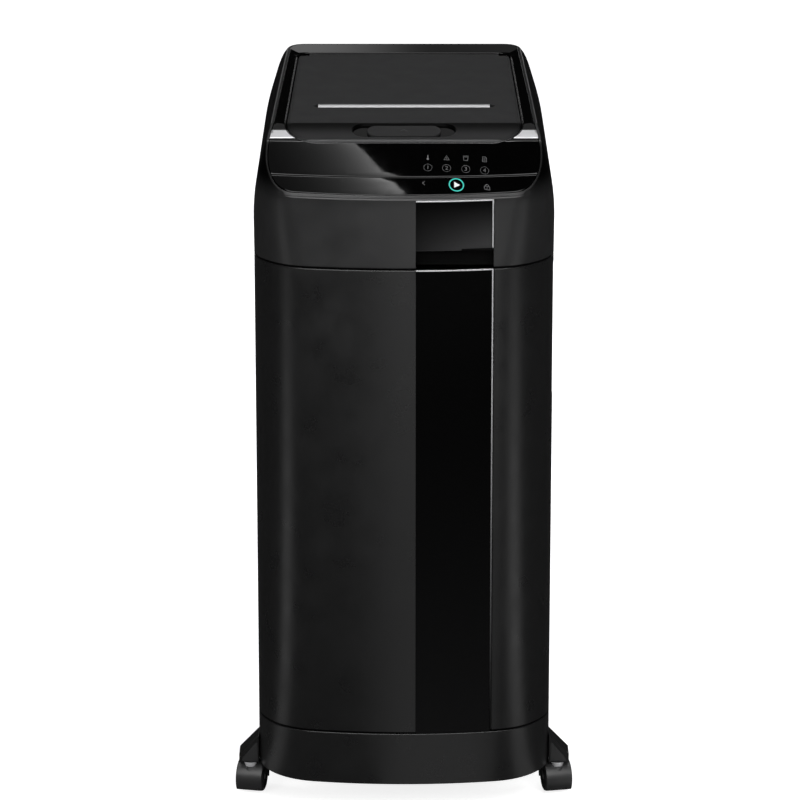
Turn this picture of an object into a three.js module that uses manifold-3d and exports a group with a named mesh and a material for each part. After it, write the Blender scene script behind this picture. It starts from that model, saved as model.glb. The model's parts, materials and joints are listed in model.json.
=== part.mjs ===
// Automatic-feed paper shredder on casters: bin drawer below, cutting head above, sheet tray under a lid.
// Millimetres, +Z up, front towards -Y. Origin: centre of the bounding box, on the floor.
import * as THREE from 'three';
import { mergeVertices } from 'three/addons/utils/BufferGeometryUtils.js';
import Module from 'manifold-3d';

const wasm = await Module();
wasm.setup();

// ---------------------------------------------------------------- driving dimensions
const fit = 0.3; // gap between pieces that seat on each other
const seam = 0.6; // visible joint between two housing mouldings

// Plan shared by base, cabinet, drawer and head. Distances "behind" count from the front-most plane.
const body = {
  width: 390,
  depth: 505,
  frontRadius: 680,
  cornerRadius: 90,
  rearRadius: 45,
  sideWall: 3,
  frontWall: 6,
  split: 110, // drawer front wraps round the corners as far back as this
};

const level = { baseBottom: 46, baseTop: 118, cabinetTop: 752 };

// Top of the head in side view: control panel, lid lip and main deck meet at the folds.
const top = {
  rim: { behind: 4.5, z: 849 },
  panelFold: { behind: 64, z: 906.5 },
  lipFold: { behind: 104, z: 921 },
  rear: { behind: body.depth, z: 954.5 },
};

const head = {
  sideBreak: 800, // the sides start to lean inwards here
  sideRadius: 330,
  frontRound: 6,
  frontBreak: 843.5,
  rearBreak: 914,
  rearRadius: 36,
  cornerRadius: 66, // front corners, squarer at the rim than on the body
  rearCorner: 60, // rear corners, rounder at the top than on the body
  rearCornerFrom: 860,
  top: 960, // above every point of the top
  rimWidth: 3.2, // moulded edge around the gloss panels
  panelThickness: 6,
  ledge: 2.7, // shelf under the gloss panels
  railTilt: 7, // degrees, side rails fall outwards towards the rear
  rearTilt: 3,
};

// Divides between the gloss panels: a level line over the keys, then upright cuts.
const panel = { keyZ: 868.6, accentFront: 71, accentBack: 89 };

const rail = { front: 43, rear: 51, back: 81 }; // gloss frame beside and behind the lid

const lid = {
  front: 64,
  rear: body.depth - rail.back,
  frontHalf: body.width / 2 - rail.front,
  rearHalf: body.width / 2 - rail.rear,
  frontCorner: 38,
  rearCorner: 22,
  gap: 1,
  skin: 2.6,
  thickness: 6,
  skirt: 3,
  seat: 8, // width of the ledge that carries the lid
  barrel: 4.6,
};

const hinge = { lugInner: 88, lugOuter: 102, pin: 2, cornerInset: 14.6, swing: 2.2 };

const latch = { half: 47.5, front: 77, back: 99.5, pocketHalf: 67, pocketFront: 73.5, pocketBack: 104,
  pocketEnd: 16, pocketDepth: 4 };

const discs = { pitch: 16, count: 14 }; // cutting discs along each rotor
const discSpan = discs.pitch * discs.count;

const feed = { behind: 180, half: discSpan / 2 + 0.5, slotWidth: 15, tip: 7 };

const tray = { half: discSpan / 2 + 4, front: 88, rear: lid.rear - 16, wall: 2.5, floor: 862, corner: 12,
  throat: 24, chute: 34 };

const plateFlap = { hinge: lid.rear - 28, reach: 198, half: tray.half - 16, thickness: 2.5, drop: 14.2,
  barrel: 3.5, pin: 1.8 };

const cutter = {
  z: 800,
  spacing: 42,
  disc: 23.5,
  core: 17.5,
  journal: 8,
  width: 6.6,
  hooks: 6,
  half: discSpan / 2 + 5.5, // inner face of the end plates
};

const endPlate = { thickness: 4, front: 126, rear: 234, gearRear: 350, bearing: 12 };

const gear = { module: 2, width: 10, gap: 2.5, largeWidth: 6, cutterTeeth: 21, driveTeeth: 33, smallTeeth: 13,
  largeTeeth: 40, motorTeeth: 10 };

const motor = { radius: 36, length: 106, shaft: 5, fan: 30, fanDepth: 12 };

const roller = { z: 851.5, offset: 30, radius: 14.5, shaft: 5, wheel: 16, places: [-75, -25, 25, 75] };

const pulley = { radius: 10, width: 6, belt: 2 };

const drawer = { panDepth: 34, inset: 15, rear: body.depth - 53, thickness: 3, footShelf: 12, shelfZ: 400,
  shelf: 9 };

const runner = { z: 218, height: 34, wall: 2.2, reach: 8.6, front: body.split + 4, rear: body.depth - 49 };

const bin = {
  half: body.width / 2 - drawer.inset - 12,
  front: 38,
  rear: drawer.rear - 8,
  corner: 40,
  draft: 9,
  wall: 2.6,
  floor: level.baseTop + 7,
  topZ: level.cabinetTop - 16,
  rim: 6,
};

const strip = { left: 15, right: 115, thickness: 2, trim: 2, windowBottom: 777, windowTop: 843 };

const pocket = { depth: 27, wall: 2 };

const grip = { depth: 8, front: 84, top: 742, bottom: 559, slopeTop: 26, slopeBottom: 20, wall: 2.4 };

const deck = { thickness: 4 };

const caster = {
  wheelRadius: 20,
  sides: 14, // flats of the wheel tread
  half: 18,
  web: 4.5,
  hood: 24,
  hoodWall: 2.4,
  trail: 10,
  stem: 5,
  stemTop: 60,
  collar: 7.5,
  axle: 4,
  toe: 12,
  frontX: body.width / 2 + 12,
  frontBehind: 88.5,
  rearX: body.width / 2 - 45,
  rearBehind: body.depth - 69,
};

const bracket = { front: 80, rear: 112, outer: body.width / 2 + 27, shoulder: 58, crest: 86 };

const backPanel = { inletX: -122, switchX: -82, z: 790 };
const vent = { left: -30, right: 130, bottom: 800, top: 880, pitch: 9, slot: 4 };
const mainCircuit = { inset: 35, fromRear: 265, length: 160, height: 88, thickness: 1.8 };

const arcSteps = { rear: 3, corner: 6, front: 6 };

// ---------------------------------------------------------------- solids
const frontY = -body.depth / 2;
const behind = (distance) => frontY + distance;
const degrees = THREE.MathUtils.degToRad;
const far = 1200; // past every face, for cutting tools
const slabFloor = level.cabinetTop - 52; // below every layer of the top

function solidOf(geometry) {
  const bare = geometry.clone();
  bare.deleteAttribute('normal');
  bare.deleteAttribute('uv');
  const merged = mergeVertices(bare, 1e-4);
  return new wasm.Manifold(new wasm.Mesh({
    numProp: 3,
    vertProperties: new Float32Array(merged.attributes.position.array),
    triVerts: new Uint32Array(merged.index.array),
  }));
}

function geometryOf(solid) {
  const mesh = solid.getMesh();
  const geometry = new THREE.BufferGeometry();
  geometry.setAttribute('position', new THREE.BufferAttribute(mesh.vertProperties, 3));
  geometry.setIndex(new THREE.BufferAttribute(mesh.triVerts, 1));
  geometry.computeVertexNormals();
  return geometry;
}

const join = (first, ...others) => others.reduce((solid, other) => solid.add(other), first);
const cut = (first, ...others) => others.reduce((solid, other) => solid.subtract(other), first);
const common = (first, ...others) => others.reduce((solid, other) => solid.intersect(other), first);

const span = (a, b) => [Math.min(a, b), Math.max(a, b)];

function block([x0, x1], [y0, y1], [z0, z1]) {
  const geometry = new THREE.BoxGeometry(x1 - x0, y1 - y0, z1 - z0);
  geometry.translate((x0 + x1) / 2, (y0 + y1) / 2, (z0 + z1) / 2);
  return solidOf(geometry);
}

// Outline axes of a prism: along x it is drawn in (y, z), along y in (x, z), along z in (x, y).
const placings = {
  x: (start) => new THREE.Matrix4().set(0, 0, 1, start, 1, 0, 0, 0, 0, 1, 0, 0, 0, 0, 0, 1),
  y: (start, end) => new THREE.Matrix4().set(1, 0, 0, 0, 0, 0, -1, end, 0, 1, 0, 0, 0, 0, 0, 1),
  z: (start) => new THREE.Matrix4().makeTranslation(0, 0, start),
};

function prism(axis, outline, start, end) {
  const shape = new THREE.Shape(outline.map(([a, b]) => new THREE.Vector2(a, b)));
  const geometry = new THREE.ExtrudeGeometry(shape, { depth: end - start, bevelEnabled: false });
  geometry.applyMatrix4(placings[axis](start, end));
  return solidOf(geometry);
}

function circle(radius, sides, [a, b] = [0, 0]) {
  return Array.from({ length: sides }, (_, index) => {
    const angle = (index / sides) * 2 * Math.PI;
    return [a + radius * Math.cos(angle), b + radius * Math.sin(angle)];
  });
}

const rod = (axis, radius, start, end, centre, sides = 16) =>
  prism(axis, circle(radius, sides, centre), start, end);

function arc([a, b], radius, from, to, steps) {
  return Array.from({ length: steps + 1 }, (_, index) => {
    const angle = from + ((to - from) * index) / steps;
    return [a + radius * Math.cos(angle), b + radius * Math.sin(angle)];
  });
}

// Rings of [x, y, z] points, counter-clockwise seen from where the rings lead.
function loft(rings) {
  const count = rings[0].length;
  const middles = [rings[0], rings[rings.length - 1]].map((ring) =>
    [0, 1, 2].map((axis) => ring.reduce((sum, point) => sum + point[axis], 0) / count));
  const corner = (ring, index) => rings[ring][index % count];
  const faces = [];
  for (let index = 0; index < count; index += 1) {
    faces.push(middles[0], corner(0, index + 1), corner(0, index));
    for (let ring = 0; ring + 1 < rings.length; ring += 1) {
      faces.push(corner(ring, index), corner(ring, index + 1), corner(ring + 1, index + 1));
      faces.push(corner(ring, index), corner(ring + 1, index + 1), corner(ring + 1, index));
    }
    faces.push(middles[1], corner(rings.length - 1, index), corner(rings.length - 1, index + 1));
  }
  const geometry = new THREE.BufferGeometry();
  geometry.setAttribute('position', new THREE.Float32BufferAttribute(faces.flat(), 3));
  return solidOf(geometry);
}

// ---------------------------------------------------------------- plan and head form
function planArcs(cornerRadius, rearRadius) {
  const cornerX = body.width / 2 - cornerRadius;
  const cornerRise = Math.sqrt((body.frontRadius - cornerRadius) ** 2 - cornerX ** 2);
  const cornerY = frontY + body.frontRadius - cornerRise;
  const tangent = Math.atan2(cornerRise, cornerX);
  const [rearX, rearY] = [body.width / 2 - rearRadius, body.depth / 2 - rearRadius];
  const turns = [0, Math.PI / 2, Math.PI, Math.PI + tangent, 2 * Math.PI - tangent, 2 * Math.PI];
  const arcOf = (centre, radius, from, steps) =>
    ({ centre, radius, from: turns[from], to: turns[from + 1], steps, joined: from > 2 });
  return [
    arcOf([rearX, rearY], rearRadius, 0, arcSteps.rear),
    arcOf([-rearX, rearY], rearRadius, 1, arcSteps.rear),
    arcOf([-cornerX, cornerY], cornerRadius, 2, arcSteps.corner),
    arcOf([0, frontY + body.frontRadius], body.frontRadius, 3, arcSteps.front),
    arcOf([cornerX, cornerY], cornerRadius, 4, arcSteps.corner),
  ];
}

const bodyArcs = planArcs(body.cornerRadius, body.rearRadius);

// The body outline, moved inwards by separate amounts at its sides, front and rear.
function bodyOutline(side = 0, front = side, rear = side, arcs = bodyArcs) {
  return arcs.flatMap(({ centre, radius, from, to, steps, joined }) =>
    Array.from({ length: steps + 1 }, (_, index) => from + ((to - from) * index) / steps)
      .slice(joined ? 1 : 0)
      .map((angle) => {
        const [nx, ny] = [Math.cos(angle), Math.sin(angle)];
        const inset = side * nx ** 2 + (ny < 0 ? front : rear) * ny ** 2;
        return [centre[0] + nx * (radius - inset), centre[1] + ny * (radius - inset)];
      }));
}

const bodyPrism = (z0, z1, side, front, rear) => prism('z', bodyOutline(side, front, rear), z0, z1);

const arcInset = (rise, radius) => radius - Math.sqrt(radius ** 2 - Math.max(rise, 0) ** 2);

const leanSteps = [22, 45, 68, 90, 110, 128, 145].map((rise) => head.sideBreak + rise);
const headLevels = [level.cabinetTop - 20, level.cabinetTop, head.sideBreak, ...leanSteps, head.top];

// Value that goes from one size to another between two heights.
const blendedOver = (z, [z0, z1], sizes) => THREE.MathUtils.lerp(...sizes,
  THREE.MathUtils.clamp((z - z0) / (z1 - z0), 0, 1));

function headForm(side = 0, front = side, rear = side) {
  return loft(headLevels.map((z) => {
    const sideInset = arcInset(z - head.sideBreak, head.sideRadius);
    const frontInset = arcInset(Math.min(z, top.rim.z) - head.frontBreak, head.frontRound);
    const rearInset = arcInset(Math.min(z - head.rearBreak, head.rearRadius * 0.96), head.rearRadius);
    const arcs = planArcs(
      blendedOver(z, [level.cabinetTop, top.rim.z], [body.cornerRadius, head.cornerRadius]),
      blendedOver(z, [head.rearCornerFrom, head.top], [body.rearRadius, head.rearCorner]));
    return bodyOutline(sideInset + side, Math.max(frontInset, front), rearInset + rear, arcs)
      .map(([x, y]) => [x, y, z]);
  }));
}

// Folds of the top, moved down square to each face by "drop".
function topFolds(drop) {
  const corners = [top.rim, top.panelFold, top.lipFold, top.rear];
  const lines = corners.slice(1).map((end, index) => {
    const start = corners[index];
    const slope = (end.z - start.z) / (end.behind - start.behind);
    const lowered = start.z - slope * start.behind - drop * Math.hypot(1, slope);
    return { slope, height: (distance) => lowered + slope * distance, lowered };
  });
  const meet = (one, two) => {
    const distance = (two.lowered - one.lowered) / (one.slope - two.slope);
    return [distance, one.height(distance)];
  };
  return { lines, folds: [meet(lines[0], lines[1]), meet(lines[1], lines[2])] };
}

function topZ(distance, drop = 0) {
  return Math.min(...topFolds(drop).lines.map((line) => line.height(distance)));
}

// The rim of the panel is bowed like the front; the bow fades out up to the fold below the lid.
const bowAt = (x) => body.frontRadius - Math.sqrt(body.frontRadius ** 2 - x ** 2);

const lidHalfAt = (distance) =>
  THREE.MathUtils.mapLinear(distance, lid.front, lid.rear, lid.frontHalf, lid.rearHalf);

// Everything below the top faces, less the falling side rails and rear frame.
function belowTop(drop = 0) {
  const { lines, folds } = topFolds(drop);
  const ahead = -40;
  const past = body.depth + 20;
  const rim = top.rim.behind + drop;
  const profile = [[past, slabFloor], [past, lines[2].height(past)], folds[1], folds[0],
    [rim, lines[0].height(rim)], [ahead, lines[0].height(ahead)], [ahead, slabFloor]];
  const bowed = 4; // the profile's points from here on follow the bow
  const columns = Array.from({ length: 15 }, (_, index) => -210 + 30 * index);
  const slab = loft(columns.map((x) => profile.map(([distance, z], place) =>
    [x, behind(distance + (place < bowed ? 0 : bowAt(x))), z])));
  const railStart = latch.pocketBack - 7;
  const sideCut = (side) => loft([railStart, past].map((distance) => {
    const [inner, outer] = [lidHalfAt(distance), body.width / 2 + 20];
    const z = lines[2].height(distance);
    const fall = distance === railStart ? 0 : (outer - inner) * Math.tan(degrees(head.railTilt));
    const ring = [[inner, z], [inner, far], [outer, far], [outer, z - fall]];
    return (side > 0 ? ring : ring.reverse()).map(([x, height]) => [side * x, behind(distance), height]);
  }));
  const rearStart = lid.rear + lid.gap;
  const rearCut = prism('x', [
    [behind(rearStart), lines[2].height(rearStart)],
    [behind(past), lines[2].height(past) - (past - rearStart) * Math.tan(degrees(head.rearTilt))],
    [behind(past), far],
    [behind(rearStart), far],
  ], -far, far);
  return cut(slab, sideCut(1), sideCut(-1), rearCut);
}

// A layer of the top between two depths.
const layer = (from, to) => cut(belowTop(from), belowTop(to));

function lidOutline(inset = 0) {
  const quarter = Math.PI / 2;
  const corner = (x, distance, radius, turn) =>
    arc([x, behind(distance)], Math.max(radius - inset, 1), turn, turn + quarter, 5);
  const [frontX, rearLidX] = [lid.frontHalf - lid.frontCorner, lid.rearHalf - lid.rearCorner];
  return [
    ...corner(rearLidX, lid.rear - lid.rearCorner, lid.rearCorner, 0),
    ...corner(-rearLidX, lid.rear - lid.rearCorner, lid.rearCorner, quarter),
    ...corner(-frontX, lid.front + lid.frontCorner, lid.frontCorner, 2 * quarter),
    ...corner(frontX, lid.front + lid.frontCorner, lid.frontCorner, 3 * quarter),
  ];
}

const lidPrism = (inset, z0 = slabFloor, z1 = far) => prism('z', lidOutline(inset), z0, z1);

function roundedRectangle([x0, x1], [y0, y1], radius, steps = 3) {
  const quarter = Math.PI / 2;
  return [
    ...arc([x1 - radius, y1 - radius], radius, 0, quarter, steps),
    ...arc([x0 + radius, y1 - radius], radius, quarter, 2 * quarter, steps),
    ...arc([x0 + radius, y0 + radius], radius, 2 * quarter, 3 * quarter, steps),
    ...arc([x1 - radius, y0 + radius], radius, 3 * quarter, 4 * quarter, steps),
  ];
}

const aheadOf = (distance) => block([-far, far], [-far, behind(distance)], [-far, far]);
const pastOf = (distance) => block([-far, far], [behind(distance), far], [-far, far]);
const between = (z0, z1) => block([-far, far], [-far, far], [z0, z1]);

// ---------------------------------------------------------------- model and finishes
const model = new THREE.Group();

const finish = (color, roughness, metalness = 0) =>
  new THREE.MeshStandardMaterial({ color, roughness, metalness });
const matteBlack = finish('#2b2b2d', 0.55);
const glossBlack = finish('#0a0a0b', 0.08);
const lidGrey = finish('#303031', 0.6);
const silver = finish('#b8b8ba', 0.3, 0.9);
const innerBlack = finish('#1c1c1d', 0.7);
const steel = finish('#8d8f93', 0.35, 0.9);
const toolSteel = finish('#6d6f74', 0.3, 0.95);
const nylon = finish('#d8d4c8', 0.5);
const rubber = finish('#161616', 0.85);
const board = finish('#1f5a36', 0.5);
const binGrey = finish('#3a3b3d', 0.6);

function add(name, material, solid, group = model) {
  const mesh = new THREE.Mesh(geometryOf(solid), material);
  mesh.name = name;
  group.add(mesh);
  return mesh;
}

// ---------------------------------------------------------------- base
function basePlinth() {
  const roof = level.baseTop - fit;
  const shell = cut(bodyPrism(level.baseBottom, roof),
    bodyPrism(level.baseBottom + body.sideWall, far, body.sideWall));
  const lip = cut(bodyPrism(roof - body.sideWall, roof, 1), bodyPrism(0, far, 14));
  const pads = [-1, 1].map((side) =>
    rod('z', 18, level.baseBottom, caster.stemTop + 6, [side * caster.rearX, behind(caster.rearBehind)]));
  const sockets = [-1, 1].map((side) =>
    rod('z', caster.stem + 0.4, 0, caster.stemTop + 1, [side * caster.rearX, behind(caster.rearBehind)]));
  return cut(join(shell, lip, ...pads), ...sockets);
}

function casterBracket(side) {
  const outline = [
    [body.width / 2, level.baseBottom],
    [bracket.outer, level.baseBottom],
    [bracket.outer, bracket.shoulder],
    [body.width / 2, bracket.crest],
  ].map(([x, z]) => [side * x, z]);
  const socket = rod('z', caster.stem + 0.4, 0, caster.stemTop + 1,
    [side * caster.frontX, behind(caster.frontBehind)]);
  return cut(prism('y', outline, behind(bracket.front), behind(bracket.rear)), socket);
}

// Caster parts are drawn round the stem axis, wheels trailing towards +Y.
function casterHousing() {
  const axle = [caster.trail, caster.wheelRadius];
  const shroudArc = (radius) => arc(axle, radius, degrees(-20), degrees(215), 7);
  const shroudOutline = [...shroudArc(caster.hood), ...shroudArc(caster.hood - caster.hoodWall).reverse()];
  const shroud = prism('x', shroudOutline, -caster.half, caster.half);
  const web = prism('x', [...shroudArc(caster.hood - 1), axle], -caster.web, caster.web);
  const hub = rod('x', 7.5, -caster.web, caster.web, axle, 10);
  const stem = rod('z', caster.stem, 30, caster.stemTop, [0, 0], 12);
  const collar = loft([[34, caster.stem], [38, caster.stem], [level.baseBottom - 0.6, caster.collar]].map(
    ([z, radius]) => circle(radius, 12).map(([x, y]) => [x, y, z])));
  return cut(join(shroud, web, hub, common(stem, block([-9, 9], [-9, 9], [36, far])), collar),
    rod('x', caster.axle + 0.4, -far, far, axle, 10));
}

function casterWheels() {
  const halfFlat = Math.PI / caster.sides;
  const flatRadius = caster.wheelRadius / Math.cos(halfFlat); // a flat of the tread rests on the floor
  const inner = caster.web + 0.7;
  const outer = caster.half - 0.2;
  const profile = [[0, -outer + 1.5], [flatRadius - 4, -outer], [flatRadius, -outer + 2.5],
    [flatRadius, -inner], [caster.axle, -inner]];
  const mirrored = profile.slice().reverse().map(([radius, x]) => [radius, -x]);
  const wheels = new THREE.LatheGeometry([...profile, ...mirrored].map(([r, x]) => new THREE.Vector2(r, x)),
    caster.sides, halfFlat);
  wheels.rotateZ(-Math.PI / 2);
  wheels.translate(0, caster.trail, caster.wheelRadius);
  return solidOf(wheels);
}

function buildCasters() {
  const places = [
    ['front_left', -caster.frontX, caster.frontBehind, -caster.toe],
    ['front_right', caster.frontX, caster.frontBehind, caster.toe],
    ['rear_left', -caster.rearX, caster.rearBehind, 0],
    ['rear_right', caster.rearX, caster.rearBehind, 0],
  ];
  for (const [name, x, distance, toe] of places) {
    const group = new THREE.Group();
    group.position.set(x, behind(distance), 0);
    group.rotation.z = degrees(toe);
    add(`caster_housing_${name}`, innerBlack, casterHousing(), group);
    add(`caster_wheels_${name}`, rubber, casterWheels(), group);
    model.add(group);
  }
}

// ---------------------------------------------------------------- cabinet
function cabinetShell() {
  const [z0, z1] = [level.baseTop + fit, level.cabinetTop - fit];
  const walls = cut(bodyPrism(z0, z1), bodyPrism(0, far, body.sideWall));
  const flange = cut(bodyPrism(z1 - body.sideWall, z1, 1), bodyPrism(0, far, 14));
  const foot = cut(bodyPrism(z0, z0 + body.sideWall, 1), bodyPrism(0, far, 14));
  return common(join(walls, flange, foot), pastOf(body.split + seam));
}

function cabinetRunner(side) {
  const outer = body.width / 2 - body.sideWall - fit;
  const half = runner.height / 2;
  const inner = outer - runner.reach;
  const outline = [
    [outer, -half], [outer, half], [inner, half], [inner, half - runner.wall],
    [outer - runner.wall, half - runner.wall], [outer - runner.wall, runner.wall - half],
    [inner, runner.wall - half], [inner, -half],
  ].map(([x, z]) => [side * x, runner.z + z]);
  return prism('y', outline, behind(runner.front), behind(runner.rear));
}

function drawerRunner(side) {
  const outer = body.width / 2 - body.sideWall - fit - runner.wall - fit;
  const half = runner.height / 2 - runner.wall - fit;
  const inner = body.width / 2 - drawer.inset + fit;
  const outline = [
    [inner, -half], [outer - 2, -half], [outer, -half + 3],
    [outer, half - 3], [outer - 2, half], [inner, half],
  ].map(([x, z]) => [side * x, runner.z + z]);
  return prism('y', outline, behind(runner.front), behind(drawer.rear));
}

// ---------------------------------------------------------------- drawer
const stripBox = (z0, z1, grow = 0, leftGrow = grow) =>
  block([strip.left - leftGrow, strip.right + grow], [-far, 0], [z0 - grow, z1 + grow]);

const drawerBottom = level.baseTop + seam;
const drawerTop = level.cabinetTop - seam;

function gripRecess(grow) {
  const face = body.width / 2;
  const outline = [
    [face + 20, grip.top + grow],
    [face, grip.top + grow],
    [face - grip.depth - grow, grip.top - grip.slopeTop],
    [face - grip.depth - grow, grip.bottom + grip.slopeBottom],
    [face, grip.bottom - grow],
    [face + 20, grip.bottom - grow],
  ];
  return prism('y', outline, behind(grip.front - grow), behind(body.split + 10));
}

function drawerFront() {
  const skin = cut(bodyPrism(drawerBottom, drawerTop),
    bodyPrism(0, far, body.sideWall, body.frontWall));
  const shelf = (z, depth) => cut(bodyPrism(z, z + body.sideWall, 1), bodyPrism(0, far, depth, depth + 4));
  const gripCup = common(gripRecess(grip.wall), bodyPrism(drawerBottom, drawerTop, 1));
  const shelves = [shelf(drawerBottom, drawer.footShelf), shelf(drawer.shelfZ, drawer.shelf)];
  const shell = common(join(skin, ...shelves, gripCup), aheadOf(body.split));
  const recess = cut(stripBox(drawerBottom - 5, drawerTop + 5, 0), bodyPrism(0, far, strip.thickness + fit));
  return cut(shell, recess, gripRecess(0));
}

// Thin skin on the bowed front between two widths and heights.
const frontSkin = ([x0, x1], [z0, z1]) =>
  common(cut(bodyPrism(z0, z1), bodyPrism(0, far, strip.thickness)), block([x0, x1], [-far, 0], [z0, z1]));

const stripInner = strip.right - strip.trim;

function drawerFascia() {
  return frontSkin([strip.left + fit, stripInner - fit], [drawerBottom, drawerTop - strip.trim - fit]);
}

function drawerTrim() {
  return join(frontSkin([strip.left + fit, strip.right - fit], [drawerTop - strip.trim, drawerTop]),
    frontSkin([stripInner, strip.right - fit], [drawerBottom, drawerTop]));
}

function drawerFrame() {
  const back = body.depth - drawer.rear;
  const floor = drawerBottom + body.sideWall + fit;
  const pan = cut(bodyPrism(floor, floor + drawer.panDepth, drawer.inset, body.frontWall + fit, back),
    bodyPrism(floor + drawer.thickness, far, drawer.inset + drawer.thickness, 16,
      back + drawer.thickness));
  const outer = body.width / 2 - drawer.inset;
  const cheeks = [-1, 1].map((side) => block(span(side * (outer - drawer.thickness), side * outer),
    [behind(runner.front), behind(drawer.rear)], [floor, runner.z + runner.height / 2]));
  return join(pan, ...cheeks);
}

function wasteBin() {
  const ring = (z, inset, grow = 0) => roundedRectangle(
    [-bin.half + inset - grow, bin.half - inset + grow],
    [behind(bin.front + inset - grow), behind(bin.rear - inset + grow)],
    bin.corner - inset + grow).map(([x, y]) => [x, y, z]);
  const outside = loft([ring(bin.floor, bin.draft), ring(bin.topZ, 0)]);
  const inside = loft([ring(bin.floor + bin.wall, bin.draft + bin.wall), ring(bin.topZ + 1, bin.wall)]);
  const rim = loft([ring(bin.topZ - 5, 0, bin.rim), ring(bin.topZ, 0, bin.rim)]);
  return cut(join(outside, rim), inside);
}

// ---------------------------------------------------------------- head housing
const pocketRoof = strip.windowBottom;

function fingerPocket(grow) {
  return block([strip.left - grow, strip.right + grow], [-far, behind(pocket.depth + grow)],
    [level.cabinetTop - 20, pocketRoof - fit + grow]);
}

const rimInset = (gap) => headForm(head.rimWidth + gap, top.rim.behind + gap, head.rimWidth + gap);

function headShell() {
  const foot = level.cabinetTop + fit;
  const outside = common(headForm(), belowTop(), between(foot, far));
  const panelRecess = cut(rimInset(0), belowTop(head.panelThickness + fit));
  const hollow = common(headForm(body.sideWall, body.frontWall),
    belowTop(head.panelThickness + head.ledge + fit));
  const pocketCup = common(fingerPocket(pocket.wall), bodyPrism(foot, far, 1));
  const windowRecess = cut(stripBox(pocketRoof, strip.windowTop, 0), headForm(strip.thickness + fit));
  const shell = cut(outside, panelRecess, hollow, lidPrism(lid.seat));
  const { inletX, switchX, z } = backPanel;
  const rearOpenings = [
    block([vent.left, vent.right], [0, far], [vent.bottom, vent.top]),
    block([inletX - 14, inletX + 14], [0, far], [z - 10, z + 10]),
    block([switchX - 10.5, switchX + 10.5], [0, far], [z - 7, z + 7]),
  ];
  const opened = cut(join(shell, pocketCup), windowRecess, fingerPocket(0), ...rearOpenings, hingeRelief());
  return join(opened, hingeLug(-1), hingeLug(1));
}

function headFascia() {
  return frontSkin([strip.left + fit, stripInner - fit],
    [pocketRoof + fit, strip.windowTop - strip.trim - fit]);
}

function headTrim() {
  const roof = strip.windowTop - fit;
  return join(frontSkin([strip.left + fit, strip.right - fit], [strip.windowTop - strip.trim, roof]),
    frontSkin([stripInner, strip.right - fit], [pocketRoof + fit, roof]));
}

const glossLayer = cut(common(rimInset(fit), layer(0, head.panelThickness)), lidPrism(-lid.gap));

function keyStrip() {
  return common(glossLayer, between(0, panel.keyZ - fit));
}

function controlFascia() {
  return common(glossLayer, between(panel.keyZ, far), aheadOf(panel.accentFront));
}

function accent(side) {
  const half = block([Math.min(0, side * far), Math.max(0, side * far)], [-far, far], [-far, far]);
  return common(glossLayer, pastOf(panel.accentFront + fit), aheadOf(panel.accentBack), half);
}

function topBezel() {
  return cut(common(glossLayer, pastOf(panel.accentBack + fit)), hingeRelief());
}

// ---------------------------------------------------------------- lid
const hingeAxis = [behind(lid.rear - lid.barrel), topZ(lid.rear - lid.barrel) - lid.barrel - 0.4];

function hingeRelief() {
  const half = lid.rearHalf - hinge.cornerInset + 1;
  return rod('x', lid.barrel + 0.8, -half, half, hingeAxis, 16);
}

// Lug on the ledge with a pin that stands out on both sides into the lid's barrel.
function hingeLug(side) {
  const [y, z] = hingeAxis;
  const [inner, outer] = [hinge.lugInner + 0.6, hinge.lugOuter - 0.6];
  return join(rod('x', lid.barrel - 0.4, ...span(side * inner, side * outer), hingeAxis, 16),
    block(span(side * inner, side * outer), [y, behind(lid.rear + 6)], [z - lid.barrel + 0.4, z - 1.6]),
    rod('x', hinge.pin, ...span(side * (inner - 6), side * (outer + 6)), hingeAxis, 12));
}

function lidShell() {
  const rearLimit = hingeAxis[0];
  const ahead = (y) => block([-far, far], [-far, y], [-far, far]);
  const plate = common(lidPrism(0), layer(0, lid.thickness), ahead(rearLimit));
  const barrelHalf = lid.rearHalf - hinge.cornerInset;
  const barrel = rod('x', lid.barrel, -barrelHalf, barrelHalf, hingeAxis, 16);
  const cornerSwings = [-1, 1].map((side) => rod('x', lid.barrel + hinge.swing,
    ...span(side * (barrelHalf + fit), side * far), hingeAxis, 16));
  const hollow = common(lidPrism(lid.skirt), belowTop(lid.skin), pastOf(latch.pocketBack + 4),
    ahead(rearLimit - lid.barrel - lid.skirt));
  const underside = layer(1, lid.thickness);
  const ribs = [-60, 0, 60].map((x) =>
    common(block([x - 1, x + 1], [behind(latch.pocketBack), rearLimit], [slabFloor, far]), underside));
  const slotRibs = [-12, 12].map((shift) => behind(feed.behind + shift)).map((y) =>
    common(block([-130, 130], [y - 1, y + 1], [slabFloor, far]), underside));
  const slot = prism('z', slotOutline(), slabFloor, far);
  const latchPocket = cut(prism('z', pocketOutline(), slabFloor, far), belowTop(latch.pocketDepth));
  const flapLugs = [-1, 1].map((side) => flapLug(side));
  const knuckleGaps = [-1, 1].map((side) => block(
    span(side * hinge.lugInner, side * hinge.lugOuter),
    [rearLimit - lid.barrel - 1.2, far], [slabFloor, far]));
  const pinBore = rod('x', hinge.pin + 0.4, -far, far, hingeAxis, 12);
  return cut(join(cut(join(plate, barrel), hollow), ...ribs, ...slotRibs, ...flapLugs), slot, latchPocket,
    ...knuckleGaps, ...cornerSwings, pinBore);
}

// Recess round the latch: straight front and back, bulging ends.
function pocketOutline() {
  const [front, back] = [behind(latch.pocketFront), behind(latch.pocketBack)];
  const ends = arc([0, 0], 1, -Math.PI / 2, Math.PI / 2, 6).map(([across, along]) => [
    latch.pocketHalf + latch.pocketEnd * (across - 1),
    (front + back) / 2 + ((back - front) / 2) * along,
  ]);
  return [...ends, ...ends.map(([x, y]) => [-x, front + back - y])];
}

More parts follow.
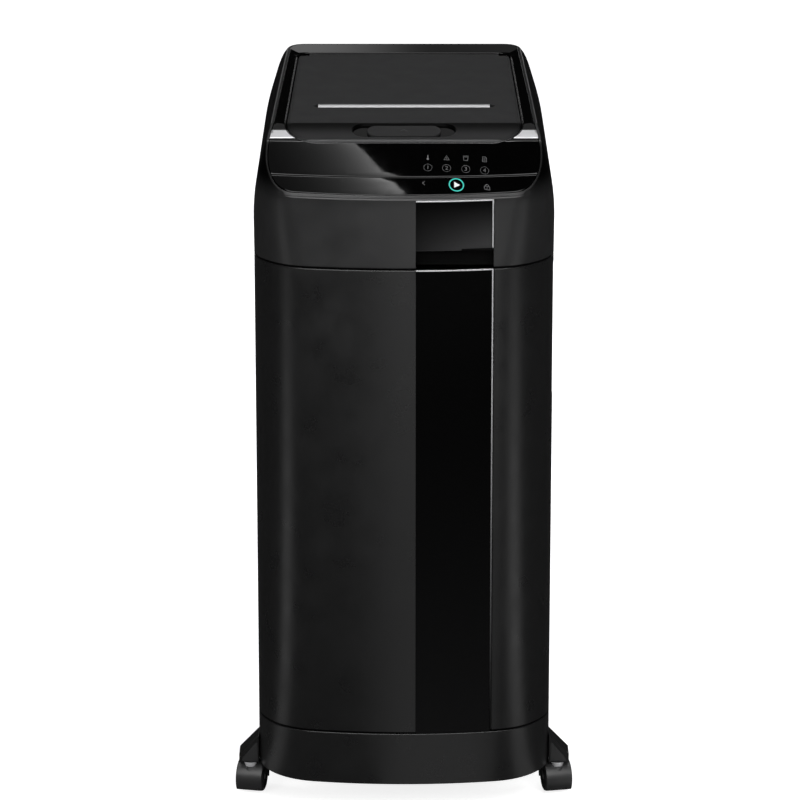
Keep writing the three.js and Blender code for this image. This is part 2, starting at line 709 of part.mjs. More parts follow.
function slotOutline() {
  const [front, back] = [behind(feed.behind - feed.slotWidth / 2), behind(feed.behind + feed.slotWidth / 2)];
  const middle = (front + back) / 2;
  return [[feed.half, front], [feed.half + feed.tip, middle], [feed.half, back], [-feed.half, back],
    [-feed.half - feed.tip, middle], [-feed.half, front]];
}

function slotTrim() {
  const back = feed.behind + feed.slotWidth / 2 - fit;
  const face = back - 7;
  const outline = [
    [behind(back), topZ(back)], [behind(back), topZ(back, lid.thickness)],
    [behind(face), topZ(face, lid.thickness)], [behind(face), topZ(face, 4)],
  ];
  return prism('x', outline, -feed.half, feed.half);
}

function latchButton() {
  const radius = (latch.back - latch.front) / 2;
  const middle = behind((latch.back + latch.front) / 2);
  const outline = [
    ...arc([latch.half - radius, middle], radius, -Math.PI / 2, Math.PI / 2, 6),
    ...arc([-latch.half + radius, middle], radius, Math.PI / 2, (3 * Math.PI) / 2, 6),
  ];
  return common(prism('z', outline, slabFloor, far), layer(0.6, latch.pocketDepth - fit));
}

// Flap that presses the sheet stack down on the pick rollers; drawn level, hinge at the group's origin.
const flapAxis = [behind(plateFlap.hinge), topZ(plateFlap.hinge, lid.thickness) - plateFlap.barrel - 0.6];

function flapLug(side) {
  const inner = plateFlap.half + 1;
  const sides = span(side * inner, side * (inner + 4));
  const [y, z] = flapAxis;
  const lug = join(block(sides, [y - 5, y + 5], [z, topZ(plateFlap.hinge - 5, 1)]),
    rod('x', 5, sides[0], sides[1], flapAxis, 16));
  return cut(lug, rod('x', plateFlap.pin + 0.4, -far, far, flapAxis, 12));
}

function pressurePlate() {
  const plate = block([-plateFlap.half, plateFlap.half], [-plateFlap.reach, 0],
    [-plateFlap.barrel, -plateFlap.barrel + plateFlap.thickness]);
  const barrel = rod('x', plateFlap.barrel, -plateFlap.half, plateFlap.half, [0, 0], 14);
  const pin = rod('x', plateFlap.pin, -plateFlap.half - 4.6, plateFlap.half + 4.6, [0, 0], 12);
  const ribs = [-66, -22, 22, 66].map((x) =>
    block([x - 1.2, x + 1.2], [-plateFlap.reach + 4, 0], [-plateFlap.barrel, plateFlap.barrel - 1]));
  return join(plate, barrel, pin, ...ribs);
}

// ---------------------------------------------------------------- sheet tray
function paperTray() {
  const flangeTop = head.panelThickness + head.ledge + 2 * fit;
  const outer = [behind(tray.front), behind(tray.rear)];
  const tub = prism('z', roundedRectangle([-tray.half, tray.half], outer, tray.corner), tray.floor, far);
  const inner = prism('z', roundedRectangle([-tray.half + tray.wall, tray.half - tray.wall],
    [outer[0] + tray.wall, outer[1] - tray.wall], tray.corner - tray.wall), tray.floor + tray.wall, far);
  const flange = common(lidPrism(lid.skirt), layer(flangeTop, flangeTop + tray.wall));
  const throat = [behind(feed.behind - tray.throat / 2), behind(feed.behind + tray.throat / 2)];
  const chute = cut(block([-feed.half - tray.wall, feed.half + tray.wall],
    [throat[0] - tray.wall, throat[1] + tray.wall], [tray.floor - tray.chute, tray.floor + 1]),
  block([-feed.half, feed.half], throat, [0, far]));
  const windows = [-1, 1].flatMap((side) => roller.places.map((x) => block(
    [x - roller.wheel / 2 - 1, x + roller.wheel / 2 + 1],
    [behind(feed.behind + side * roller.offset) - 12, behind(feed.behind + side * roller.offset) + 12],
    [tray.floor - 1, tray.floor + tray.wall + 1])));
  const throatCut = block([-feed.half, feed.half], throat, [0, tray.floor + tray.wall + 1]);
  const walls = join(common(tub, belowTop(flangeTop)), flange, chute);
  return cut(walls, inner, throatCut, ...windows, hingeRelief());
}

const plateOuter = cutter.half + endPlate.thickness; // outer face of the end plates

function feedRoller(side) {
  const centre = [behind(feed.behind + side * roller.offset), roller.z];
  const shaft = rod('x', roller.shaft, -plateOuter - 14, plateOuter, centre, 8);
  const wheels = roller.places.map((x) => rod('x', roller.radius, x - roller.wheel / 2, x + roller.wheel / 2,
    centre, 12));
  return join(shaft, ...wheels, pulleyDisc(centre));
}

const pulleyX = [-plateOuter - 12, -plateOuter - 12 + pulley.width];

const pulleyDisc = (centre) => rod('x', pulley.radius, pulleyX[0], pulleyX[1], centre, 12);

function feedBelt(side) {
  const low = rotorCentre(side);
  const high = [behind(feed.behind + side * roller.offset), roller.z];
  const lean = Math.atan2(high[1] - low[1], high[0] - low[0]);
  const loop = (radius) => [
    ...arc(high, radius, lean - Math.PI / 2, lean + Math.PI / 2, 7),
    ...arc(low, radius, lean + Math.PI / 2, lean + (3 * Math.PI) / 2, 7),
  ];
  const inner = pulley.radius + 0.6;
  return cut(prism('x', loop(inner + pulley.belt), pulleyX[0], pulleyX[1]),
    prism('x', loop(inner), pulleyX[0] - 1, pulleyX[1] + 1));
}

// ---------------------------------------------------------------- cutting block
const rotorCentre = (side) => [behind(feed.behind + (side * cutter.spacing) / 2), cutter.z];
const deckTop = level.cabinetTop + deck.thickness;

function hookedDisc(centre, start, turn, side) {
  const outline = Array.from({ length: cutter.hooks }, (_, index) => {
    const angle = turn + (index / cutter.hooks) * 2 * Math.PI;
    const step = (2 * Math.PI) / cutter.hooks;
    const point = (radius, share) => [
      centre[0] + radius * Math.cos(angle + side * share * step),
      centre[1] + radius * Math.sin(angle + side * share * step),
    ];
    const hook = [point(cutter.disc, 0), point(cutter.disc - 4, 0.8)];
    return side > 0 ? hook : hook.reverse();
  }).flat();
  return prism('x', outline, start, start + cutter.width);
}

function cutterRotor(side) {
  const centre = rotorCentre(side);
  const shaftEnd = side < 0 ? gearX.cutter[1] + 2 : gearX.drive[1] + 1;
  const shaft = rod('x', cutter.journal, -plateOuter - 14, shaftEnd, centre, 12);
  const core = rod('x', cutter.core, -cutter.half + 2.4, cutter.half - 2.4, centre, 8);
  const first = (-(discs.count - 1) / 2) * discs.pitch - cutter.width / 2 + (side * discs.pitch) / 4;
  const rings = Array.from({ length: discs.count }, (_, index) =>
    hookedDisc(centre, first + index * discs.pitch, side * index * degrees(11), side));
  return join(shaft, core, pulleyDisc(centre), ...rings);
}

// Comb whose fingers reach between the discs and peel the shreds off the rotor.
function stripper(side) {
  const centre = rotorCentre(side);
  const reach = (radius) => centre[0] + side * radius;
  const bar = block([-cutter.half + fit, cutter.half - fit],
    span(reach(cutter.disc + 1.2), reach(cutter.disc + 7)), [deckTop, cutter.z + 22]);
  const first = -((discs.count - 1) / 2) * discs.pitch + (side * discs.pitch) / 4 + discs.pitch / 2;
  const fingers = Array.from({ length: discs.count - 1 }, (_, index) => {
    const x = first + index * discs.pitch;
    return block([x - 3.6, x + 3.6], span(reach(cutter.core + 1), reach(cutter.disc + 2)),
      [cutter.z - 9, cutter.z + 9]);
  });
  return join(bar, ...fingers);
}

const gearStart = plateOuter + 4.5;
const gearX = { cutter: [gearStart, gearStart + gear.width] };
gearX.drive = [gearX.cutter[1] + gear.gap, gearX.cutter[1] + gear.gap + gear.width];
gearX.large = [gearX.drive[1] + gear.gap, gearX.drive[1] + gear.gap + gear.largeWidth];

const pitchRadius = (teeth) => (gear.module * teeth) / 2;

// Spur gear with its tooth 0 centred on "turn".
function spurGear(teeth, [x0, x1], centre, turn) {
  const pitch = pitchRadius(teeth);
  const step = (2 * Math.PI) / teeth;
  const outline = Array.from({ length: teeth }, (_, index) => {
    const angle = turn + index * step;
    const point = (radius, share) => [
      centre[0] + radius * Math.cos(angle + share * step),
      centre[1] + radius * Math.sin(angle + share * step),
    ];
    const [root, tip] = [pitch - 1.2 * gear.module, pitch + 0.85 * gear.module];
    return [point(root, -0.31), point(tip, -0.11), point(tip, 0.11), point(root, 0.31)];
  }).flat();
  return prism('x', outline, x0, x1);
}

const trainLean = degrees(12);
const driveDistance = pitchRadius(gear.driveTeeth) + pitchRadius(gear.smallTeeth);
const motorDistance = pitchRadius(gear.largeTeeth) + pitchRadius(gear.motorTeeth);
const reductionCentre = [
  rotorCentre(1)[0] + driveDistance * Math.cos(trainLean),
  rotorCentre(1)[1] + driveDistance * Math.sin(trainLean),
];
const motorCentre = [reductionCentre[0] + motorDistance, reductionCentre[1]];

function cutterGearFront() {
  const centre = rotorCentre(-1);
  return cut(spurGear(gear.cutterTeeth, gearX.cutter, centre, 0),
    rod('x', cutter.journal + fit, -far, far, centre));
}

function rearGearCluster() {
  const centre = rotorCentre(1);
  const halfTooth = Math.PI / gear.cutterTeeth;
  return cut(join(
    spurGear(gear.cutterTeeth, gearX.cutter, centre, Math.PI + halfTooth),
    rod('x', 13, gearX.cutter[0], gearX.drive[1], centre),
    spurGear(gear.driveTeeth, gearX.drive, centre, trainLean)),
  rod('x', cutter.journal + fit, -far, far, centre));
}

function reductionGear() {
  const centre = reductionCentre;
  return join(
    rod('x', motor.shaft, cutter.half, gearX.large[1] + 3, centre, 12),
    spurGear(gear.smallTeeth, [gearX.drive[0], gearX.large[0] + 1], centre,
      trainLean + Math.PI + Math.PI / gear.smallTeeth),
    spurGear(gear.largeTeeth, gearX.large, centre, 0));
}

function endPlateSide(side) {
  const inner = cutter.half;
  const sides = span(side * inner, side * (inner + endPlate.thickness));
  const rear = behind(side > 0 ? endPlate.gearRear : endPlate.rear);
  const roof = tray.floor - fit;
  const rearEdge = side > 0 ? [[rear, motorCentre[1] + 30], [rear - 20, roof]] : [[rear, roof]];
  const front = behind(endPlate.front);
  const outline = [[front, deckTop], [rear, deckTop], ...rearEdge, [front, roof]];
  const plate = prism('x', outline, sides[0], sides[1]);
  const bores = [-1, 1].flatMap((place) => [
    rod('x', endPlate.bearing + fit, -far, far, rotorCentre(place), 14),
    rod('x', roller.shaft + 0.4, -far, far, [behind(feed.behind + place * roller.offset), roller.z], 16),
  ]);
  const driveBores = side > 0 ? [
    rod('x', motor.shaft + 0.4, -far, far, reductionCentre, 16),
    rod('x', motor.shaft + 3, -far, far, motorCentre, 16),
  ] : [];
  return cut(plate, ...bores, ...driveBores);
}

// Two flanged bushes on one strap carry both rotors at one end.
function bearingBlock(side) {
  const [start, flange] = [side * (cutter.half + 0.6), side * (plateOuter + fit)];
  const end = flange + side * 2;
  const places = [-1, 1].map(rotorCentre);
  const bushes = places.map((centre) => rod('x', endPlate.bearing, ...span(start, end), centre, 12));
  const flanges = places.map((centre) => rod('x', endPlate.bearing + 3, ...span(flange, end), centre, 12));
  const strap = block(span(flange, end), places.map(([y]) => y), [cutter.z - 14, cutter.z + 14]);
  const bores = places.map((centre) => rod('x', cutter.journal + 0.5, -far, far, centre, 12));
  return cut(join(strap, ...bushes, ...flanges), ...bores);
}

function deckPlate() {
  const plate = bodyPrism(level.cabinetTop, deckTop, body.sideWall + fit, body.frontWall + fit);
  const drop = block([-cutter.half + 3, cutter.half - 3],
    [rotorCentre(-1)[0] - 22, rotorCentre(1)[0] + 22], [0, far]);
  return cut(plate, drop, fingerPocket(pocket.wall + fit));
}

// ---------------------------------------------------------------- drive and electrics
const backFace = body.depth / 2;

function motorBody() {
  const start = cutter.half - fit - motor.length;
  const end = cutter.half - fit;
  const r = motor.radius;
  const profile = [[motor.shaft + 0.6, start], [r * 0.6, start], [r * 0.72, start + 8], [r - 3, start + 8],
    [r, start + 14], [r, end - 16], [r - 5, end - 14], [r - 5, end], [motor.shaft + 0.6, end]];
  const turned = [...profile, profile[0]].map(([radius, x]) => new THREE.Vector2(radius, x));
  const shell = new THREE.LatheGeometry(turned, 24);
  shell.rotateZ(-Math.PI / 2);
  shell.translate(0, motorCentre[0], motorCentre[1]);
  return solidOf(shell);
}

function motorRotor() {
  const bodyStart = cutter.half - fit - motor.length;
  const fanX = [bodyStart - 2 - motor.fanDepth, bodyStart - 2];
  const shaft = rod('x', motor.shaft, fanX[0], gearX.large[1] + 2, motorCentre, 12);
  const pinion = spurGear(gear.motorTeeth, gearX.large, motorCentre, Math.PI + Math.PI / gear.motorTeeth);
  const hub = rod('x', 10, fanX[0], fanX[1], motorCentre, 12);
  const blades = Array.from({ length: 6 }, (_, index) => {
    const angle = (index / 6) * 2 * Math.PI;
    const [c, s] = [Math.cos(angle), Math.sin(angle)];
    const corner = (radius, off) => [
      motorCentre[0] + radius * c - off * s, motorCentre[1] + radius * s + off * c];
    const blade = [corner(6, -1), corner(motor.fan, -1), corner(motor.fan, 1), corner(6, 1)];
    return prism('x', blade, fanX[0], fanX[1]);
  });
  return join(shaft, pinion, hub, ...blades);
}

function gearboxCover() {
  const [x0, x1] = [plateOuter + fit, gearX.large[1] + 6];
  const outline = (inset) => [
    [behind(endPlate.front + 4) + inset, deckTop + fit + inset],
    [behind(endPlate.gearRear - 4) - inset, deckTop + fit + inset],
    [behind(endPlate.gearRear - 4) - inset, motorCentre[1] + 24 - inset / 2],
    [behind(endPlate.gearRear - 50), tray.floor - 4 - inset],
    [behind(endPlate.front + 30), tray.floor - 4 - inset],
    [behind(endPlate.front + 4) + inset, cutter.z + 30 - inset / 2],
  ];
  return cut(prism('x', outline(0), x0, x1), prism('x', outline(2.4), x0 - 1, x1 - 2.4),
    rod('x', roller.shaft + 2, -far, far, [behind(feed.behind - roller.offset), roller.z], 12),
    rod('x', roller.shaft + 2, -far, far, [behind(feed.behind + roller.offset), roller.z], 12));
}

function controlBoard() {
  const under = head.panelThickness + head.ledge + 2 * fit;
  return common(layer(under, under + 1.8), block([10, 125], [behind(22), behind(58)], [slabFloor, far]));
}

function mainBoard() {
  const x = -body.width / 2 + mainCircuit.inset;
  const front = behind(body.depth - mainCircuit.fromRear);
  const along = (start, end) => [front + start, front + end];
  const above = (start, end) => [deckTop + start, deckTop + end];
  const sheet = block([x, x + mainCircuit.thickness], along(0, mainCircuit.length),
    above(0, mainCircuit.height));
  const sink = block([x + 1, x + 24], along(10, 50), above(14, 60));
  const fins = [14, 23, 32, 41].map((start) =>
    block([x + 8, x + 25], along(start, start + 4), above(10, 64)));
  const cans = [72, 96].map((place) => rod('x', 9, x + 1, x + 26, [front + place, deckTop + 50], 12));
  const relay = block([x + 1, x + 16], along(116, 144), above(20, 44));
  return join(sheet, cut(sink, ...fins), ...cans, relay);
}

function powerSupply() {
  const [x, y] = [-45, backFace - 55];
  const core = block([x - 25, x + 25], [y - 25, y + 25], [deckTop + 8, deckTop + 48]);
  const coil = rod('z', 17, deckTop + 2, deckTop + 54, [x, y], 16);
  const foot = block([x - 33, x + 33], [y - 18, y + 18], [deckTop, deckTop + 3]);
  const posts = block([x - 19, x + 19], [y - 14, y + 14], [deckTop, deckTop + 10]);
  return join(core, coil, foot, posts);
}

// Frame that fills an opening of the rear wall from inside, with a flange behind the wall.
function rearInsert(x, [halfX, halfZ], depth, lap) {
  const { z } = backPanel;
  const frame = block([x - halfX + fit, x + halfX - fit], [backFace - depth, backFace - 0.4],
    [z - halfZ + fit, z + halfZ - fit]);
  const flange = block([x - halfX - lap, x + halfX + lap],
    [backFace - body.sideWall - 3, backFace - body.sideWall - fit], [z - halfZ - lap, z + halfZ + lap]);
  return join(frame, flange);
}

function powerInlet() {
  const { inletX: x, z } = backPanel;
  const recess = block([x - 12, x + 12], [backFace - 16, far], [z - 8, z + 8]);
  const pins = [[-7, 0], [0, 3], [7, 0]].map(([across, rise]) => block([x + across - 1, x + across + 1],
    [backFace - 17, backFace - 4], [z + rise - 2, z + rise + 2]));
  return join(cut(rearInsert(x, [14, 10], 24, 3), recess), ...pins);
}

function switchHousing() {
  const { switchX: x, z } = backPanel;
  const recess = block([x - 8.8, x + 8.8], [backFace - 13, far], [z - 5.4, z + 5.4]);
  return cut(rearInsert(x, [10.5, 7], 20, 2.5), recess);
}

// Rocker drawn round its pivot: tilted so that one half stands out of the frame.
function rockerSwitch() {
  const profile = [[-7.6, 3.2], [0, 1.2], [7.6, 3.2], [7, -1.5], [0, -4.5], [-7, -1.5]];
  return prism('z', profile, -5, 5);
}

function rearVent() {
  const [x0, x1] = [vent.left + fit, vent.right - fit];
  const [z0, z1] = [vent.bottom + fit, vent.top - fit];
  const depth = [backFace - body.sideWall, backFace - 0.4];
  const slots = Array.from({ length: Math.floor((z1 - z0 - 6) / vent.pitch) }, (_, index) => {
    const z = z0 + 6 + index * vent.pitch;
    return block([x0 + 8, x1 - 8], [0, far], [z, z + vent.slot]);
  });
  const spine = block([(x0 + x1) / 2 - 2, (x0 + x1) / 2 + 2], depth, [z0, z1]);
  return join(cut(block([x0, x1], depth, [z0, z1]), ...slots), spine);
}

// ---------------------------------------------------------------- assembly
add('base_plinth', matteBlack, basePlinth());
add('caster_bracket_left', matteBlack, casterBracket(-1));
add('caster_bracket_right', matteBlack, casterBracket(1));
buildCasters();

add('cabinet_shell', matteBlack, cabinetShell());
add('cabinet_runner_left', steel, cabinetRunner(-1));
add('cabinet_runner_right', steel, cabinetRunner(1));

add('drawer_front', matteBlack, drawerFront());
add('drawer_fascia', glossBlack, drawerFascia());
add('drawer_trim', silver, drawerTrim());
add('drawer_frame', innerBlack, drawerFrame());
add('drawer_runner_left', steel, drawerRunner(-1));
add('drawer_runner_right', steel, drawerRunner(1));
add('waste_bin', binGrey, wasteBin());

add('deck_plate', steel, deckPlate());
add('head_shell', matteBlack, headShell());
add('head_fascia', glossBlack, headFascia());
add('head_trim', silver, headTrim());
add('key_strip', glossBlack, keyStrip());
add('control_fascia', glossBlack, controlFascia());
add('accent_left', silver, accent(-1));
add('accent_right', silver, accent(1));
add('top_bezel', glossBlack, topBezel());

add('lid_shell', lidGrey, lidShell());
add('slot_trim', silver, slotTrim());
add('latch_button', lidGrey, latchButton());
const flapGroup = new THREE.Group();
flapGroup.position.set(0, flapAxis[0], flapAxis[1]);
flapGroup.rotation.x = Math.atan(topFolds(0).lines[2].slope) + degrees(plateFlap.drop);
add('pressure_plate', innerBlack, pressurePlate(), flapGroup);
model.add(flapGroup);

add('paper_tray', innerBlack, paperTray());
add('feed_roller_front', rubber, feedRoller(-1));
add('feed_roller_rear', rubber, feedRoller(1));
add('feed_belt_front', rubber, feedBelt(-1));
add('feed_belt_rear', rubber, feedBelt(1));

add('cutter_front', toolSteel, cutterRotor(-1));
add('cutter_rear', toolSteel, cutterRotor(1));
add('stripper_front', innerBlack, stripper(-1));
add('stripper_rear', innerBlack, stripper(1));
add('end_plate_left', steel, endPlateSide(-1));
add('end_plate_right', steel, endPlateSide(1));
add('bearing_block_left', steel, bearingBlock(-1));
add('bearing_block_right', steel, bearingBlock(1));
add('cutter_gear', nylon, cutterGearFront());
add('drive_gear', nylon, rearGearCluster());
add('reduction_gear', nylon, reductionGear());
add('motor_body', steel, motorBody());
add('motor_rotor', toolSteel, motorRotor());
add('gearbox_cover', innerBlack, gearboxCover());

add('control_board', board, controlBoard());
add('main_board', board, mainBoard());
add('power_supply', steel, powerSupply());
add('power_inlet', innerBlack, powerInlet());
add('switch_housing', innerBlack, switchHousing());
const rockerGroup = new THREE.Group();
rockerGroup.position.set(backPanel.switchX, backFace - 4.5, backPanel.z);
rockerGroup.rotation.z = degrees(8);
add('rocker_switch', innerBlack, rockerSwitch(), rockerGroup);
model.add(rockerGroup);
add('rear_vent', innerBlack, rearVent());

export default model;
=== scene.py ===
"""Paper shredder on casters: smooth housings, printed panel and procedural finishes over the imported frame.

Metres, +Z up, front towards -Y.  Pieces are placed from the frame's boxes and joints.
"""
import json
import math
from contextlib import contextmanager
from math import cos, hypot, pi, radians, sin, sqrt, tan

import bmesh
import bpy
import numpy as np
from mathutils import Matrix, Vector
from mathutils.geometry import delaunay_2d_cdt


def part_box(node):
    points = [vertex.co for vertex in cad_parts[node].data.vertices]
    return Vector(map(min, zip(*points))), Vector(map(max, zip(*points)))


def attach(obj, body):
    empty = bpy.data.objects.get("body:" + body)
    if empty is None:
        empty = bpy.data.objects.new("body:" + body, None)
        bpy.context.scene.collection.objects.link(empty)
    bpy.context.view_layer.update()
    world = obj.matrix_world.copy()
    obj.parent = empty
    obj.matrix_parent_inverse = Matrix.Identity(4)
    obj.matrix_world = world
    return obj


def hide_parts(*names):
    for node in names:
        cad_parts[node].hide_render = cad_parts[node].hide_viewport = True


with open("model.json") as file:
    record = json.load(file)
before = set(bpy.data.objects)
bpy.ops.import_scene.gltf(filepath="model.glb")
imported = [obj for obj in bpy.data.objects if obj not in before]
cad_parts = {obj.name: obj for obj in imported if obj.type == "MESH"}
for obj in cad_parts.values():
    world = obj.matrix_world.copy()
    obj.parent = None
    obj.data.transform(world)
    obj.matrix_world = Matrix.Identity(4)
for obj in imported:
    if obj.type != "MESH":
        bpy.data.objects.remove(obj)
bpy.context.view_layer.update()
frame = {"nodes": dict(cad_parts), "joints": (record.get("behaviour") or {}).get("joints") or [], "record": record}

# ---------------------------------------------------------------- places taken from the frame
base_low, base_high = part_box("base_plinth")
cabinet_low, cabinet_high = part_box("cabinet_shell")
drawer_low, drawer_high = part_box("drawer_front")
head_low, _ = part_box("head_shell")
window_low, window_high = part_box("head_fascia")
strip_low, strip_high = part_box("drawer_fascia")
drawer_trim_low, drawer_trim_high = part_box("drawer_trim")
head_trim_low, head_trim_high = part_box("head_trim")
lid_low, lid_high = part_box("lid_shell")
slot_low, slot_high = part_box("slot_trim")
button_low, button_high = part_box("latch_button")
joints = {joint["name"]: joint for joint in frame["joints"]}

SIDES = ("left", -1), ("right", 1)
HALF_WIDTH = base_high.x
FRONT, REAR = base_low.y, base_high.y

# ---------------------------------------------------------------- form of the housing
FRONT_RADIUS = 0.680
CORNER_RADIUS = 0.090
REAR_RADIUS = 0.045
SIDE_BREAK, SIDE_RADIUS = 0.800, 0.330  # the head's sides lean inwards above the break
FRONT_BREAK, FRONT_ROUND = 0.8435, 0.006
REAR_BREAK, REAR_ROUND = 0.914, 0.036
RIM_Z, HEAD_TOP = 0.849, 0.960
HEAD_CORNER = 0.066  # front corners at the rim
HEAD_REAR_CORNER, REAR_CORNER_FROM = 0.060, 0.860
RIM_WIDTH, RIM_FRONT = 0.0032, 0.0045  # moulded edge round the gloss panels
WALL, FRONT_WALL = 0.003, 0.006

FOLDS = [(RIM_FRONT, RIM_Z), (0.064, 0.9065), (0.104, 0.921), (0.505, 0.9545)]  # behind the front, height
LIP_FOLD = FOLDS[2][0]
RAIL_START = 0.097
RAIL_TILT, REAR_TILT = radians(7), radians(3)
LID_FRONT, LID_REAR = lid_low.y - FRONT, 0.424
LID_FRONT_HALF, LID_REAR_HALF = lid_high.x, 0.144
LID_FRONT_CORNER, LID_REAR_CORNER = 0.038, 0.022
LID_GAP = 0.001
LID_BARREL_HALF = 0.129
LUG_INNER, LUG_OUTER, LUG_RADIUS, KNUCKLE_GAP = 0.0886, 0.1014, 0.0042, 0.0008
BARREL_BORE, BARREL_RADIUS = 0.0024, 0.0046
FLAP_LUG_INNER, FLAP_LUG_OUTER = 0.1012, 0.1048
AXIS_GAP = 0.0001  # turned solids stop just short of their axis
LID_CORNER_RELIEF = 0.0068  # lets the rear corners swing past the frame
LID_LEVEL, LID_SHEEN = 0.0225, 0.06
RAIL_FALL_END = 0.525  # distance at which the rails have their full tilt
KEY_HEIGHT, ACCENT_FRONT, ACCENT_BACK = 0.8686, 0.071, 0.089
PIECE_GAP = 0.0003
SHADOW_GAP = 0.0014  # dark line beside the upright trims
PANEL_THICKNESS, GLOSS_THICKNESS = 0.006, 0.0056


def behind(distance):
    return FRONT + distance


def spread(start, end, step):
    count = max(1, round(abs(end - start) / step))
    return [start + (end - start) * index / count for index in range(count + 1)]


def arc_inset(rise, radius):
    return radius - sqrt(radius ** 2 - min(max(rise, 0.0), 0.999 * radius) ** 2)


def fold_line(start, end):
    slope = (end[1] - start[1]) / (end[0] - start[0])
    return slope, start[1] - slope * start[0]


LIP_SLOPE, LIP_BASE = fold_line(FOLDS[1], FOLDS[2])
DECK_SLOPE, DECK_BASE = fold_line(FOLDS[2], FOLDS[3])
PANEL_RISE = FOLDS[1][1] - RIM_Z


def smooth_min(a, b, blend):
    share = max(blend - abs(a - b), 0.0) / blend
    return min(a, b) - share * share * blend / 4


def lid_half_at(distance):
    share = (distance - LID_FRONT) / (LID_REAR - LID_FRONT)
    return LID_FRONT_HALF + (LID_REAR_HALF - LID_FRONT_HALF) * share


def deck_height(distance):
    return DECK_BASE + DECK_SLOPE * distance


def bow_at(x):
    return FRONT_RADIUS - sqrt(FRONT_RADIUS ** 2 - x * x)


def top_height(x, y):
    """Height of the top: bowed panel, lid lip, deck, and the falling side rails and rear frame."""
    distance = y - FRONT
    past_rim = distance - RIM_FRONT - bow_at(x)
    run = FOLDS[1][0] - RIM_FRONT
    panel = RIM_Z + past_rim * PANEL_RISE / (run - bow_at(x) if past_rim > 0 else run)
    lip = LIP_BASE + LIP_SLOPE * distance
    height = smooth_min(smooth_min(panel, lip, 0.0006), deck_height(distance), 0.0003)
    if distance > RAIL_START:
        share = (distance - RAIL_START) / (RAIL_FALL_END - RAIL_START)
        past_lid = max(abs(x) - lid_half_at(distance), 0.0)
        height = min(height, deck_height(distance) - share * past_lid * tan(RAIL_TILT))
    past_rear = max(distance - LID_REAR - LID_GAP, 0.0)
    return min(height, deck_height(distance) - past_rear * tan(REAR_TILT))


def on_top(x, y, drop=0.0):
    """Point of the top surface, moved down square to it."""
    if not drop:
        return Vector((x, y, top_height(x, y)))
    step = 0.0002
    slope_x = (top_height(x + step, y) - top_height(x - step, y)) / (2 * step)
    slope_y = (top_height(x, y + step) - top_height(x, y - step)) / (2 * step)
    normal = Vector((-slope_x, -slope_y, 1)).normalized()
    return Vector((x, y, top_height(x, y))) - normal * drop


# ---------------------------------------------------------------- plan of the housing
def plan_ring(step=0.005, corner=CORNER_RADIUS, rear=REAR_RADIUS):
    """Outline of the body, counter-clockwise from the right side: pairs of place and outward normal.

    The number of pairs depends on the step alone, so rings with other corners match pair by pair.
    """
    corner_x = HALF_WIDTH - corner
    rise = sqrt((FRONT_RADIUS - corner) ** 2 - corner_x ** 2)
    corner_y, turn = FRONT + FRONT_RADIUS - rise, math.atan2(rise, corner_x)
    rear_x, rear_y = HALF_WIDTH - rear, REAR - rear
    half, full = pi / 2, 2 * pi
    ring = []

    def arc(centre, radius, start, end, length):
        count = round(length / step)
        for index in range(1, count + 1):
            angle = start + (end - start) * index / count
            normal = Vector((cos(angle), sin(angle)))
            ring.append((Vector(centre) + normal * radius, normal))

    def straight(start, end, normal, length):
        count = round(length / (2 * step))
        ring.extend((Vector(start).lerp(Vector(end), index / count), Vector(normal)) for index in range(1, count + 1))

    arc((rear_x, rear_y), rear, 0, half, 0.07)
    straight((rear_x, REAR), (-rear_x, REAR), (0, 1), 0.30)
    arc((-rear_x, rear_y), rear, half, pi, 0.07)
    straight((-HALF_WIDTH, rear_y), (-HALF_WIDTH, corner_y), (-1, 0), 0.36)
    arc((-corner_x, corner_y), corner, pi, pi + turn, 0.13)
    arc((0, FRONT + FRONT_RADIUS), FRONT_RADIUS, pi + turn, full - turn, 0.25)
    arc((corner_x, corner_y), corner, full - turn, full, 0.13)
    straight((HALF_WIDTH, corner_y), (HALF_WIDTH, rear_y), (1, 0), 0.36)
    return ring


def insert_mark(ring, measure, mark):
    """The ring with an extra entry wherever the measure passes the mark."""
    marked = []
    values = [measure(entry) - mark for entry in ring]
    for index, entry in enumerate(ring):
        marked.append(entry)
        after = (index + 1) % len(ring)
        gap, next_gap = values[index], values[after]
        if gap * next_gap < 0 and min(abs(gap), abs(next_gap)) > 2e-5:
            share = gap / (gap - next_gap)
            marked.append(tuple(here.lerp(there, share) for here, there in zip(entry, ring[after])))
    return marked


def marked_plan(step=0.005, marks_x=(), marks_y=()):
    ring = plan_ring(step)
    for axis, marks in ((0, marks_x), (1, marks_y)):
        for mark in marks:
            ring = insert_mark(ring, lambda entry: entry[0][axis], mark)
    return ring


def inset_place(entry, side, front=None, rear=None):
    """Place of a ring entry, moved inwards by separate amounts at the sides, front and rear."""
    place, normal = entry[:2]
    front = side if front is None else front
    rear = side if rear is None else rear
    lengthwise = front if normal.y < 0 else rear
    return place - normal * (side * normal.x ** 2 + lengthwise * normal.y ** 2)


def head_plan(step=0.004):
    """Body outline with, for each entry, its place and normal for the head's own corners as well."""
    rings = plan_ring(step), plan_ring(step, corner=HEAD_CORNER), plan_ring(step, rear=HEAD_REAR_CORNER)
    return [(*body, *squared, *rounded) for body, squared, rounded in zip(*rings)]


def share_between(value, start, end):
    return min(max((value - start) / (end - start), 0.0), 1.0)


